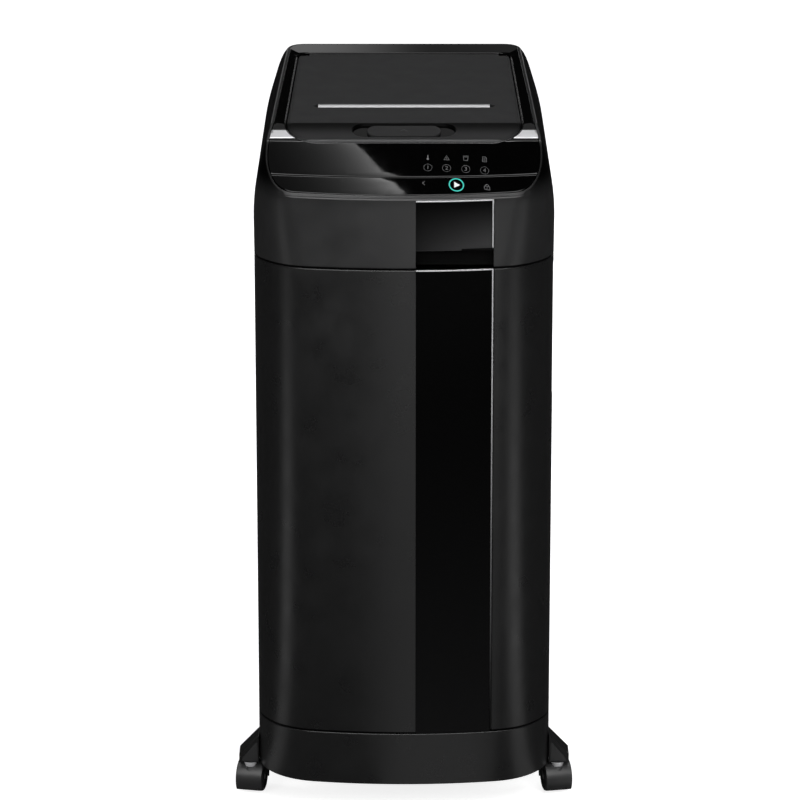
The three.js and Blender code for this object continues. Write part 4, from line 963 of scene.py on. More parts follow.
# ---------------------------------------------------------------- outer housing
def wall_section(low_z, high_z, side, front):
    """Section of an upright wall with rounded outer edges: ((side, front) insets, height) in turn."""
    rounding, support = 0.0012, 0.003
    soft = [(rounding * (1 - cos(t)), rounding * (1 - sin(t)))
            for t in (0, pi / 6, pi / 3, pi / 2)]
    section = [((inset, inset), low_z + rise) for inset, rise in reversed(soft)]
    section += [((0, 0), low_z + support), ((0, 0), high_z - support)]
    section += [((inset, inset), high_z - rise) for inset, rise in soft]
    return section + [((side, front), high_z), ((side, front), low_z)]


def wall_sections(entries, section):
    def place(entry, insets, z):
        return Vector((*inset_place(entry, *insets, insets[0]), z))

    return [[place(entry, insets, z) for insets, z in section] for entry in entries]


def entries_from(ring, first, chosen):
    """The chosen entries of a ring, in order from the first one."""
    start = next(index for index, entry in enumerate(ring) if first(entry[0]))
    return [entry for entry in ring[start:] + ring[:start] if chosen(entry[0])]


def build_base():
    ring = plan_ring()
    section = wall_section(base_low.z, base_high.z, WALL, WALL)
    new_piece("base_moulding", *sweep_mesh(wall_sections(ring, section)), "cabinet_black", replaces=("base_plinth",))
    outline = [tuple(inset_place(entry, WALL * 0.9)) for entry in ring]
    levels = base_low.z + 0.0004, base_low.z + WALL
    new_piece("base_floor", *prism_mesh(outline, lambda x, y, end: (x, y, levels[end])), "cabinet_black")
    boss = [(0.0055, base_low.z - 0.0002), (0.018, base_low.z - 0.0002), (0.018, 0.066), (0.0055, 0.066)]
    for side in ("left", "right"):
        x, y, _ = joints[f"swivel_rear_{side}"]["pos_m"]
        lathe_piece(f"caster_boss_{side}", boss, (x, y, 0), (0, 0, 1), "cabinet_black")


def build_cabinet():
    split = cabinet_low.y
    entries = entries_from(marked_plan(marks_y=(split,)), lambda place: abs(place.y - split) < 1e-6 and place.x > 0,
                           lambda place: place.y > split - 1e-6)
    section = wall_section(cabinet_low.z, cabinet_high.z, WALL, WALL)
    new_piece("cabinet_panel", *sweep_mesh(wall_sections(entries, section), closed=False), "cabinet_black",
              replaces=("cabinet_shell",))


def build_drawer_front():
    split = drawer_high.y
    ring = marked_plan(marks_x=(strip_low.x, strip_high.x), marks_y=(split,))
    entries = entries_from(ring, lambda place: abs(place.y - split) < 1e-6 and place.x < 0,
                           lambda place: place.y < split + 1e-6)
    section = wall_section(drawer_low.z, drawer_high.z, WALL, FRONT_WALL)
    front = new_piece("drawer_moulding", *sweep_mesh(wall_sections(entries, section), closed=False),
                      "cabinet_black", body="drawer", replaces=("drawer_front",), finish=drawer_plastic)
    carve(front, strip_tool(drawer_trim_low, drawer_trim_high, 0.02), grip_tool())
    round_edges(front, 0.0006, 2, 50, front_edge_of(drawer_trim_low, drawer_trim_high))
    round_edges(new_piece("grip_cup", *grip_cup_mesh(), "inner_black", body="drawer"), 0.001)


GRIP_TOP, GRIP_BOTTOM, GRIP_DEPTH = 0.742, 0.559, 0.008
GRIP_SLOPE_TOP, GRIP_SLOPE_BOTTOM = 0.026, 0.020
GRIP_FRONT = 0.084


def grip_tool():
    """Cutter for the hand grip in the drawer's right edge, with sloped ends."""
    floor, outside = HALF_WIDTH - GRIP_DEPTH, HALF_WIDTH + 0.02
    outline = [(outside, GRIP_TOP), (HALF_WIDTH, GRIP_TOP), (floor, GRIP_TOP - GRIP_SLOPE_TOP),
               (floor, GRIP_BOTTOM + GRIP_SLOPE_BOTTOM), (HALF_WIDTH, GRIP_BOTTOM), (outside, GRIP_BOTTOM)]
    ends = behind(GRIP_FRONT), drawer_high.y + 0.01
    return loose_solid(*prism_mesh(outline, lambda x, z, end: (x, ends[end], z)))


def grip_cup_mesh():
    """Bent liner behind the grip recess: outer outline less the recess itself."""
    wall = 0.0022
    floor = HALF_WIDTH - GRIP_DEPTH
    inner = [(HALF_WIDTH - WALL, GRIP_TOP - 0.001), (floor, GRIP_TOP - GRIP_SLOPE_TOP),
             (floor, GRIP_BOTTOM + GRIP_SLOPE_BOTTOM), (HALF_WIDTH - WALL, GRIP_BOTTOM + 0.001)]
    outer = [(x - wall, z) for x, z in reversed(inner)]
    ends = behind(GRIP_FRONT), drawer_high.y - 0.0002
    return prism_mesh(inner + outer, lambda x, z, end: (x, ends[end], z))


def face_y(x, depth):
    """Where the front's bow, moved back by a depth, stands at x."""
    return FRONT + FRONT_RADIUS - sqrt((FRONT_RADIUS - depth) ** 2 - x * x)


def strip_tool(low, high, reach):
    """Cutter for the recess of the gloss strip: everything outside a slightly smaller front bow."""
    columns = spread(low.x - PIECE_GAP, high.x + SHADOW_GAP, 0.004)
    outline = [(x, face_y(x, 0.0023)) for x in columns]
    outline += [(columns[-1], FRONT - reach), (columns[0], FRONT - reach)]
    return loose_solid(*prism_mesh(outline, lambda x, y, end: (x, y, (low.z - reach, high.z + reach)[end])))


def bowed_skin(name, low, high, slot, **more):
    """Plate bent to the front's bow between two corners (x and z)."""
    columns = spread(low[0], high[0], 0.003)
    outline = [(x, 0.0) for x in columns] + [(x, 0.002) for x in reversed(columns)]
    piece = new_piece(name, *prism_mesh(outline, lambda x, depth, end: (x, face_y(x, depth), (low[1], high[1])[end])),
                      slot, **more)
    round_edges(piece, 0.0002, 2)


def build_strips():
    trim = drawer_trim_high.x - strip_high.x - PIECE_GAP
    # painted reflections: the strip and the window lighten towards their foot, the window also from left to right
    long_gloss = fading_gloss("black gloss strip", strip_low.z, strip_high.z, (0.001, 0.006), 2.0)
    smoked = fading_gloss("smoked window", window_low.z, window_high.z, (0.0012, 0.052), 1.3,
                          (window_low.x, window_high.x, 0.2))
    bowed_skin("drawer_gloss_strip", strip_low.xz, strip_high.xz, "gloss_black", body="drawer",
               replaces=("drawer_fascia",), finish=long_gloss)
    bowed_skin("head_window", window_low.xz, window_high.xz, "gloss_black", replaces=("head_fascia",), finish=smoked)
    for name, body, low, high, finish in (("drawer", "drawer", drawer_trim_low, drawer_trim_high, trim_metal),
                                          ("head", "root", head_trim_low, head_trim_high, None)):
        bowed_skin(f"{name}_trim_upright", (high.x - trim, low.z), high.xz, "silver_trim", body=body,
                   replaces=(f"{name}_trim",), finish=finish)
        bowed_skin(f"{name}_trim_top", (low.x, high.z - trim), (high.x - trim - 0.0001, high.z), "silver_trim",
                   body=body)


POCKET_DEPTH, POCKET_WALL = 0.027, 0.002
EDGE_OUT, EDGE_IN = 0.0018, 0.0005  # roundings of the rim round the gloss panels
LEDGE, LEDGE_THICKNESS, FOOT_CHAMFER = 0.0027, 0.0022, 0.0008


def bezier(start, control, end, steps):
    shares = [index / steps for index in range(steps + 1)]
    return [start * (1 - t) ** 2 + control * (2 * t * (1 - t)) + end * t * t for t in shares]


def head_section(entry):
    """Section of the head's wall at one place of the plan: outside, rim, recess, inside."""
    foot = head_low.z
    edge = head_edge(entry)
    rim = head_edge(entry, RIM_WIDTH, RIM_FRONT)
    rows = 26
    start_z, end_z = foot + FOOT_CHAMFER, edge.z - EDGE_OUT
    outer = [head_place(entry, start_z + (end_z - start_z) * index / rows) for index in range(rows + 1)]
    foot_edge = head_place(entry, foot, FOOT_CHAMFER, FOOT_CHAMFER)
    across = (rim - edge)
    lead = edge + across * min(EDGE_OUT / across.length, 0.45)
    lead.z = top_height(lead.x, lead.y)
    round_out = bezier(outer[-1], edge, lead, 6)[1:]
    shoulder = rim - across * min(EDGE_IN / across.length, 0.3)
    shoulder.z = top_height(shoulder.x, shoulder.y)
    fall = rim - Vector((0, 0, EDGE_IN))
    round_in = bezier(shoulder, rim, fall, 3)
    ledge_outer = rim - Vector((0, 0, PANEL_THICKNESS + 0.0008))
    inward = Vector((across.x, across.y, 0)).normalized()
    ledge_inner = ledge_outer + inward * LEDGE
    under = ledge_inner - Vector((0, 0, LEDGE_THICKNESS))
    inner_top = head_edge(entry, WALL, FRONT_WALL)
    under_wall = Vector((inner_top.x, inner_top.y, 0)) + Vector((0, 0, min(under.z, ledge_outer.z - LEDGE_THICKNESS)))
    inner_rows = [head_place(entry, z, WALL, FRONT_WALL) for z in (SIDE_BREAK - 0.01, foot)]
    return [foot_edge, *outer, *round_out, *round_in, ledge_outer, ledge_inner, under, under_wall, *inner_rows]


def build_head():
    ring = head_plan()
    for mark in (window_low.x, window_high.x):
        ring = insert_mark(ring, lambda entry: entry[0].x, mark)
    for distance in (FOLDS[1][0], RAIL_START, FOLDS[2][0]):
        ring = insert_mark(ring, lambda entry: head_edge(entry).y, behind(distance))
    shell = new_piece("head_moulding", *sweep_mesh([head_section(entry) for entry in ring]), "cabinet_black",
                      replaces=("head_shell",), finish=head_plastic)
    pocket_left, pocket_right = head_trim_low.x - PIECE_GAP, head_trim_high.x + PIECE_GAP
    roof = window_low.z - PIECE_GAP
    openings = [box_mesh((pocket_left, FRONT - 0.02, head_low.z - 0.02), (pocket_right, behind(0.022), roof))]
    for node, grow in (("rear_vent", PIECE_GAP), ("power_inlet", -0.003), ("switch_housing", -0.0022)):
        low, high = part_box(node)
        openings.append(box_mesh((low.x - grow, REAR - 0.02, low.z - grow),
                                 (high.x + grow, REAR + 0.02, high.z + grow)))
    carve(shell, strip_tool(head_trim_low, head_trim_high, 0.0), *[loose_solid(*opening) for opening in openings])
    round_edges(shell, 0.0006, 2, 50, front_edge_of(head_trim_low, head_trim_high))
    build_finger_pocket(pocket_left, pocket_right, roof)
    build_hinge_lugs()


def build_finger_pocket(left, right, roof):
    """Black scoop behind the opening below the window."""
    depth, floor, corner = behind(POCKET_DEPTH), head_low.z + 0.0002, 0.006
    arc = [(depth - corner + corner * sin(t), roof - corner + corner * cos(t))
           for t in spread(0, pi / 2, pi / 10)]
    inner = [(behind(0.004), roof), *arc, (depth, floor)]
    outer = [(y + POCKET_WALL, z) if z < roof - 0.001 else (y, z + POCKET_WALL) for y, z in reversed(inner)]
    new_piece("finger_pocket_liner", *prism_mesh(inner + outer, lambda y, z, end: ((left, right)[end], y, z)),
              "inner_black", finish=pocket_plastic_painted_shade)
    for name, x0, x1 in (("left", left - POCKET_WALL, left), ("right", right, right + POCKET_WALL)):
        box_piece(f"finger_pocket_end_{name}", (x0, behind(0.0045) + bow_at(x1), floor), (x1, depth, roof),
                  "inner_black", finish=pocket_plastic_painted_shade)


def block_profile(inner, outer, low, high):
    """Plain turned profile between two radii and two places along the axis."""
    return [(inner, low), (outer, low), (outer, high), (inner, high)]


def build_hinge_lugs():
    _, y, z = joints["lid_hinge"]["pos_m"]
    for name, side in SIDES:
        low, high = sorted((side * LUG_INNER, side * LUG_OUTER))
        lug = lathe_piece(f"lid_hinge_lug_{name}", block_profile(AXIS_GAP, LUG_RADIUS, low, high), (0, y, z), (1, 0, 0),
                          "cabinet_black", 32)
        round_edges(lug, 0.0004, 2)
        lathe_piece(f"lid_hinge_pin_{name}", block_profile(AXIS_GAP, 0.002, low - 0.006, high + 0.006), (0, y, z),
                    (1, 0, 0), "plate_steel", 24)
        box_piece(f"lid_hinge_foot_{name}", (low, y, z - LUG_RADIUS), (high, y + 0.0105, z - 0.0016), "cabinet_black",
                  0.0004)


# ---------------------------------------------------------------- gloss panels and lid
def rim_loop(gap):
    loop = []
    for entry in head_plan():
        edge = head_edge(entry, RIM_WIDTH + gap, RIM_FRONT + gap)
        loop.append((edge.x, edge.y))
    return loop


def lid_loop(grow=0.0):
    """Lid outline, counter-clockwise, optionally grown."""
    quarter = pi / 2
    points = []
    for turn, (side, distance, half, radius) in enumerate(((1, LID_REAR, LID_REAR_HALF, LID_REAR_CORNER),
                                                           (-1, LID_REAR, LID_REAR_HALF, LID_REAR_CORNER),
                                                           (-1, LID_FRONT, LID_FRONT_HALF, LID_FRONT_CORNER),
                                                           (1, LID_FRONT, LID_FRONT_HALF, LID_FRONT_CORNER))):
        x, y = side * (half - radius), behind(distance + (radius if turn > 1 else -radius))
        for angle in spread(turn * quarter, (turn + 1) * quarter, quarter / 12):
            points.append((x + (radius + grow) * cos(angle), y + (radius + grow) * sin(angle)))
    return densify(points, 0.008)


def densify(loop, step):
    """Closed loop with its long sides divided."""
    result = []
    for (ax, ay), (bx, by) in zip(loop, loop[1:] + loop[:1]):
        count = max(1, round(hypot(bx - ax, by - ay) / step))
        result.extend((ax + (bx - ax) * i / count, ay + (by - ay) * i / count) for i in range(count))
    return result


GLOSS_EDGE = quarter_edge(0.0010, GLOSS_THICKNESS, 4)


def height_at(point):
    return top_height(*point)


def level_line(start, end, height):
    """Points between two ends along the panel's contour at a height."""
    share = (height - RIM_Z) / PANEL_RISE
    run = FOLDS[1][0] - RIM_FRONT
    return [(x, behind(RIM_FRONT + bow_at(x) + share * (run - bow_at(x))))
            for x in spread(start[0], end[0], 0.006)[1:-1]]


def build_gloss_panels():
    rim = rim_loop(PIECE_GAP)
    lid_edge = lid_loop(LID_GAP)
    common = {"thickness": GLOSS_THICKNESS, "edge": GLOSS_EDGE}
    below = KEY_HEIGHT - PIECE_GAP
    front_strip = cut_chain(rim, True, below, False, height_at)[0]
    divide = level_line(front_strip[-1], front_strip[0], below)
    plate_piece("key_panel", densify(front_strip + divide, 0.006), "gloss_black", replaces=("key_strip",), sharp=0,
                **common)
    right, left = cut_chain(cut_chain(rim, True, KEY_HEIGHT, True, height_at)[0], False, behind(ACCENT_FRONT), False)
    lid_front = cut_chain(lid_edge, True, behind(ACCENT_FRONT), False)[0]
    outline = densify(right + lid_front[::-1] + left + level_line(left[-1], right[0], KEY_HEIGHT), 0.006)
    fold = behind(FOLDS[1][0])
    plate_piece("control_panel", outline, "gloss_black", replaces=("control_fascia",), sharp=0,
                rows=(fold - 0.001, fold, fold + 0.001), **common)
    band = behind(ACCENT_FRONT) + PIECE_GAP, behind(ACCENT_BACK)
    rims = cut_chain(cut_chain(rim, True, band[0], True)[0], False, band[1], False)
    lids = cut_chain(cut_chain(lid_edge, True, band[0], True)[0], False, band[1], False)
    for name, rim_side, lid_side in zip(("right", "left"), rims, lids):
        plate_piece(f"silver_accent_{name}", densify(rim_side + lid_side[::-1], 0.003), "silver_trim",
                    replaces=(f"accent_{name}",), sharp=0, spacing=0.003, finish=silver_paint, **common)
    start = behind(ACCENT_BACK) + PIECE_GAP
    outer = cut_chain(rim, True, start, True)[0]
    inner = cut_chain(lid_edge, True, start, True)[0]
    build_lid_bead()
    plate_piece("gloss_frame", densify(outer + inner[::-1], 0.006), "gloss_black", replaces=("top_bezel",),
                rows=(behind(RAIL_START), behind(LIP_FOLD)), creases=frame_creases(), sharp=1.2, **common)


def build_lid_bead():
    """Thin raised line on the gloss panels, along the front and both sides of the lid's opening."""
    path = cut_chain(lid_loop(LID_GAP + 0.0012), True, behind(LID_REAR - LID_REAR_CORNER), False)[0]
    sections = []
    for index, (x, y) in enumerate(path):
        before, after = path[max(index - 1, 0)], path[min(index + 1, len(path) - 1)]
        along = Vector((after[0] - before[0], after[1] - before[1], 0)).normalized()
        outward, radius = Vector((along.y, -along.x, 0)), 0.0006
        middle = on_top(x, y, 0.0002)
        sections.append([middle + (outward * cos(turn) + Vector((0, 0, sin(turn)))) * radius
                         for turn in spread(0, 1.8 * pi, 0.2 * pi)])
    new_piece("lid_opening_bead", *sweep_mesh(sections, False), "gloss_black", angle=60, finish=bead_metal)


def frame_creases():
    """Folds of the rear frame: along the lid's rear line and out to both rear corners."""
    chains = []
    for side in (-1, 1):
        mitre = []
        for past in spread(0.0, 0.034, 0.003):
            distance = LID_REAR + LID_GAP + past
            share = (distance - RAIL_START) / (RAIL_FALL_END - RAIL_START)
            x = lid_half_at(distance) + past * tan(REAR_TILT) / (share * tan(RAIL_TILT))
            if head_gap(x, behind(distance)) > 0.0015:
                mitre.append((side * x, behind(distance)))
        chains.append(mitre)
    return chains


def head_gap(x, y):
    """Rough distance from a rear-corner point to the inner rim."""
    entry = min(head_plan(0.01), key=lambda item: (item[0] - Vector((x, y))).length)
    edge = head_edge(entry, RIM_WIDTH + PIECE_GAP, RIM_FRONT)
    return (Vector((edge.x, edge.y)) - Vector((x, y))).dot(entry[1])


LID_THICKNESS = 0.006
POCKET_HALF, POCKET_FRONT, POCKET_BACK = 0.067, 0.0735, 0.104
SLOT_BEHIND, SLOT_WIDTH, SLOT_TIP = 0.180, 0.015, 0.007


def lid_edge_profile():
    """Soft nose, a fine groove and then the face."""
    return quarter_edge(0.0034, LID_THICKNESS, 6) + [(0.0036, 0.0004), (0.0041, 0.0004), (0.0044, 0.0)]


def slot_loop():
    front, back = behind(SLOT_BEHIND - SLOT_WIDTH / 2), behind(SLOT_BEHIND + SLOT_WIDTH / 2)
    middle, half = (front + back) / 2, slot_high.x
    loop = [(half, front), (half + SLOT_TIP, middle), (half, back), (-half, back), (-half - SLOT_TIP, middle),
            (-half, front)]
    return densify(loop, 0.006)[::-1]


def pocket_loop():
    """Recess round the latch: straight front and back, bulging ends."""
    front, back = behind(POCKET_FRONT), behind(POCKET_BACK)
    return densify(pill_points(POCKET_HALF, front, back, 0.016, 14), 0.006)


def pill_points(half, front, back, bulge, steps):
    """Outline with straight front and back and round ends that stand out by the bulge."""
    middle = (front + back) / 2
    right = [(half - bulge + bulge * cos(t), middle + (back - front) / 2 * sin(t))
             for t in spread(-pi / 2, pi / 2, pi / steps)]
    return right + [(-x, 2 * middle - y) for x, y in right]


def build_lid():
    fold = behind(LIP_FOLD)
    rear = joints["lid_hinge"]["pos_m"][1]
    relief, barrel_end = rear - LID_CORNER_RELIEF, LID_BARREL_HALF + 0.0006
    outline = cut_chain(lid_loop(), True, relief, False)[0]
    outline += [(barrel_end, relief), (barrel_end, rear), (-barrel_end, rear), (-barrel_end, relief)]
    plate_piece("lid_cover", densify(outline, 0.006), "lid_black", thickness=LID_THICKNESS, edge=lid_edge_profile(),
                holes=(slot_loop(), pocket_loop()[::-1]), hole_edge=quarter_edge(0.0008, LID_THICKNESS, 3), sharp=0,
                rows=(fold - 0.0016, fold - 0.0008, fold, fold + 0.0008, fold + 0.0016),
                body="lid", replaces=("lid_shell",), finish=lip_plastic())
    plate_piece("latch_pocket_floor", offset_loop(pocket_loop(), -0.0004), "gloss_black", thickness=0.0018,
                edge=[(0.0, 0.0018), (0.0, 0.0)], sharp=0, body="lid",
                surface=lambda x, y, drop: on_top(x, y, drop + 0.004))
    build_lid_underside(rear)


def lip_plastic():
    """The lid's plastic, with a painted shade band where the lip turns down from the deck."""
    shading = Shading("lid plastic with turned lip", grey(LID_LEVEL), 0.55, Specular_IOR_Level=LID_SHEEN)
    tree, along, fold, nose = shading.tree, shading.axis("Y"), behind(LIP_FOLD), behind(LID_FRONT)
    # painted shade: a dark band across the lip, just in front of the fold
    turned = mapped(tree, along, fold - 0.030, fold - 0.004, mode="SMOOTHSTEP")
    dark = maths(tree, "MULTIPLY", turned, mapped(tree, along, fold, fold + 0.003, 1.0, 0.0))
    shading.vary_colour(dark, grey(LID_LEVEL), grey(0.0006))
    sheen = mapped(tree, along, nose + 0.0022, nose + 0.0038, 0.5, LID_SHEEN, "SMOOTHSTEP")
    tree.links.new(sheen, shading.shader.inputs["Specular IOR Level"])
    shading.vary_roughness(shading.noise(26, 4), 0.51, 0.60)
    shading.bump(shading.noise(1100, 1), 0.00005, 0.5)
    return shading.material


def build_lid_underside(rear):
    """Barrels, stiffening ribs and flap lugs below the cover."""
    centre = (0, *joints["lid_hinge"]["pos_m"][1:])
    inner, outer, soft = LUG_INNER - KNUCKLE_GAP, LUG_OUTER + KNUCKLE_GAP, 0.0004
    for name, low, high in (("left", -LID_BARREL_HALF, -outer), ("middle", -inner, inner),
                            ("right", outer, LID_BARREL_HALF)):
        profile = [(BARREL_BORE, low), (BARREL_RADIUS - soft, low), (BARREL_RADIUS, low + soft),
                   (BARREL_RADIUS, high - soft), (BARREL_RADIUS - soft, high), (BARREL_BORE, high)]
        lathe_piece(f"lid_barrel_{name}", profile, centre, (1, 0, 0), "lid_black", 32, body="lid")
    for index, x in enumerate((-0.12, -0.06, 0.0, 0.06, 0.12)):
        rib_pieces(f"lid_rib_{index}", x, POCKET_BACK + 0.001, rear - FRONT - 0.0052)
    centre = (0, *joints["flap_hinge"]["pos_m"][1:])
    for name, side in SIDES:
        low, high = sorted((side * FLAP_LUG_INNER, side * FLAP_LUG_OUTER))
        lathe_piece(f"flap_lug_{name}", block_profile(0.0022, 0.005, low, high), centre, (1, 0, 0), "lid_black", 32,
                    body="lid")


def rib_pieces(name, x, start, end):
    """Shallow rib along the lid's underside, in two lengths where the paper slot crosses it."""
    half, clear, blocked = 0.0009, 0.012, behind(SLOT_BEHIND)
    points = spread(behind(start), behind(end), 0.02)
    spans = {"": points}
    if abs(x) < slot_high.x:
        spans = {"a": [y for y in points if y < blocked - clear] + [blocked - clear],
                 "b": [blocked + clear] + [y for y in points if y > blocked + clear]}
    for label, span in spans.items():
        upper = [on_top(x, y, LID_THICKNESS - 0.0002) for y in span]
        outline = [(point.y, point.z) for point in upper] + [(point.y, point.z - 0.0028) for point in reversed(upper)]
        new_piece(name + label, *prism_mesh(outline, lambda y, z, end: (x + (half, -half)[end], y, z)), "lid_black",
                  body="lid")


def build_latch():
    """Push button: a pill with a soft crown and a small arrow."""
    front, back = button_low.y, button_high.y
    outline = pill_points(button_high.x, front, back, (back - front) / 2, 16)
    plate_piece("latch_pill", densify(outline, 0.004), "lid_black", thickness=0.003,
                edge=quarter_edge(0.0012, 0.003, 4), sharp=0, spacing=0.004, body="latch",
                replaces=("latch_button",), surface=lambda x, y, drop: on_top(x, y, drop + 0.0006))
    arrow = [(-0.0046, -0.0016), (0.0, 0.0022), (0.0046, -0.0016)]
    mark_piece("latch_arrow", [stroke(arrow, 0.0011)], 0.0, (front + back) / 2, ink_arrow, body="latch",
               lift=-0.0005)


def build_slot_trim():
    """Bright lip along the back of the paper slot, with a rounded nose."""
    face, back = slot_low.y, slot_high.y
    profile = [on_top(0, y, drop) for y, drop in ((back, 0.0), (back, LID_THICKNESS), (face, LID_THICKNESS),
                                                  (face, 0.0045), (face + 0.0022, 0.0022), (face + 0.0048, 0.0006))]
    outline = [(point.y, point.z) for point in profile]
    ends = (slot_high.x, slot_low.x)
    piece = new_piece("slot_lip", *prism_mesh(outline, lambda y, z, end: (ends[end], y, z)), "silver_trim",
                      body="lid", replaces=("slot_trim",), finish=lip_silver)
    round_edges(piece, 0.0003, 2)


# ---------------------------------------------------------------- printed symbols
def stroke(points, width, closed=False):
    """Flat strip along a polyline: (vertices, faces) in the mark's own plane."""
    points = [Vector(point) for point in points]
    count = len(points)
    vertices, faces = [], []
    for index, point in enumerate(points):
        before = points[index - 1] if index or closed else None
        after = points[(index + 1) % count] if index + 1 < count or closed else None
        first = (point - before).normalized() if before is not None else (after - point).normalized()
        second = (after - point).normalized() if after is not None else first
        normal = (Vector((-first.y, first.x)) + Vector((-second.y, second.x)))
        normal = normal / max(normal.length_squared / 2, 0.5)
        vertices += [point + normal * width / 2, point - normal * width / 2]
    for index in range(count if closed else count - 1):
        a, b = 2 * index, 2 * ((index + 1) % count)
        faces.append([a, a + 1, b + 1, b])
    return vertices, faces


def circle_points(radius, centre=(0, 0), steps=48, turn=2 * pi):
    return [(centre[0] + radius * cos(turn * i / steps), centre[1] + radius * sin(turn * i / steps))
            for i in range(steps)]


def ring_mark(radius, width, steps=48):
    return stroke(circle_points(radius, steps=steps), width, closed=True)


def filled(points):
    return [Vector(point) for point in points], [list(range(len(points)))]


def digit_mark(text, size):
    """Flat faces of a plain numeral, centred."""
    curve = bpy.data.curves.new("digit", "FONT")
    curve.body = text
    curve.size = size
    curve.align_x, curve.align_y = "CENTER", "CENTER"
    carrier = add_object("digit", curve)
    bpy.context.view_layer.update()
    mesh = carrier.to_mesh()
    vertices = [Vector((vertex.co.x, vertex.co.y)) for vertex in mesh.vertices]
    faces = [list(polygon.vertices) for polygon in mesh.polygons]
    carrier.to_mesh_clear()
    bpy.data.objects.remove(carrier)
    return vertices, faces


def mark_piece(name, shapes, x, y, material, body="root", lift=0.00006):
    """Ink that lies on the top surface; shapes are drawn in metres in the mark's own plane."""
    slope = (top_height(x, y + 0.001) - top_height(x, y - 0.001)) / 0.002
    along = 1 / hypot(1, slope)
    vertices, faces = [], []
    for points, shape_faces in shapes:
        start, count = len(vertices), len(points)
        for drop in (-lift, 0.0001 - lift):
            vertices.extend(on_top(x + point[0], y + point[1] * along, drop) for point in points)
        for face in shape_faces:
            faces.append([start + index for index in face])
            faces.append([start + count + index for index in reversed(face)])
        for a, b in boundary_edges(shape_faces):
            faces.append([start + b, start + a, start + count + a, start + count + b])
    piece = add_object(name, raw_mesh(name, vertices, faces))
    piece.data.materials.append(material)
    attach(piece, body)


def boundary_edges(faces):
    seen = set()
    for face in faces:
        seen.update(zip(face, face[1:] + face[:1]))
    return [edge for edge in seen if (edge[1], edge[0]) not in seen]


def thermometer():
    return [stroke([(0, 0.0038), (0, -0.0008)], 0.0013), filled(circle_points(0.0016, (0, -0.0022), 20))]


def jammed_sheet():
    triangle = [(-0.0032, -0.0028), (0.0032, -0.0028), (0.0, 0.0034)]
    return [stroke(triangle, 0.0005, closed=True), stroke([(0, 0.001), (0, -0.0012)], 0.0007)]


def open_drawer():
    box = [(-0.003, 0.0022), (-0.0024, -0.0028), (0.0024, -0.0028), (0.003, 0.0022)]
    return [stroke(box, 0.0006, closed=True), stroke([(-0.0036, 0.0036), (0.0036, 0.0036)], 0.0006)]


def paper_stack():
    sheet = [(-0.0026, -0.0034), (0.0026, -0.0034), (0.0026, 0.0022), (0.0012, 0.0036), (-0.0026, 0.0036)]
    lines = [stroke([(-0.0014, z), (0.0014, z)], 0.0005) for z in (-0.0016, 0.0, 0.0016)]
    return [stroke(sheet, 0.0006, closed=True), *lines]


def padlock():
    body = [(-0.0034, -0.0036), (0.0034, -0.0036), (0.0034, 0.0010), (-0.0034, 0.0010)]
    shackle = circle_points(0.0022, (0, 0.0014), 17, pi * 17 / 16)
    return [stroke(body, 0.0007, closed=True), stroke(shackle, 0.0008), stroke([(0, -0.0002), (0, -0.0022)], 0.0009)]


def build_symbols():
    """Generic status symbols, level numbers and keys on the gloss panel."""
    columns = (0.0305, 0.0545, 0.0790, 0.1030)
    icons = (thermometer(), jammed_sheet(), open_drawer(), paper_stack())
    icon_row, number_row, key_row = behind(0.0460), behind(0.0352), behind(0.0182)
    for index, (x, icon) in enumerate(zip(columns, icons), 1):
        mark_piece(f"status_symbol_{index}", icon, x, icon_row, ink_faint)
        number = [ring_mark(0.0053, 0.0004), digit_mark(str(index), 0.0080)]
        mark_piece(f"level_number_{index}", number, x, number_row, ink_faint)
    reverse = [stroke([(0.0016, 0.0028), (-0.0016, 0.0), (0.0016, -0.0028)], 0.0007)]
    mark_piece("reverse_key", reverse, 0.0250, key_row, ink_faint)
    mark_piece("lock_key", padlock(), 0.1060, key_row + 0.0012, ink_faint)
    mark_piece("start_ring", [ring_mark(0.0090, 0.0015, steps=72)], 0.0668, key_row, ink_teal)
    arrow = [(-0.0028, -0.0044), (0.0046, 0.0), (-0.0028, 0.0044)]
    mark_piece("start_arrow", [filled(arrow)], 0.0668, key_row, ink_white)


# ---------------------------------------------------------------- casters
def caster_frame(name):
    """Stem foot, axle centre and axle direction of a caster, from its joints."""
    swivel, roll = joints[f"swivel_{name}"], joints[f"roll_{name}"]
    stem = Vector(swivel["pos_m"])
    axle = Vector(roll["pos_m"])
    across = Vector(roll["axis"]).normalized()
    return stem, axle, across


WHEEL_RADIUS, HALF_TRACK, HOOD_RADIUS, HOOD_WALL = 0.0199, 0.018, 0.0238, 0.0024


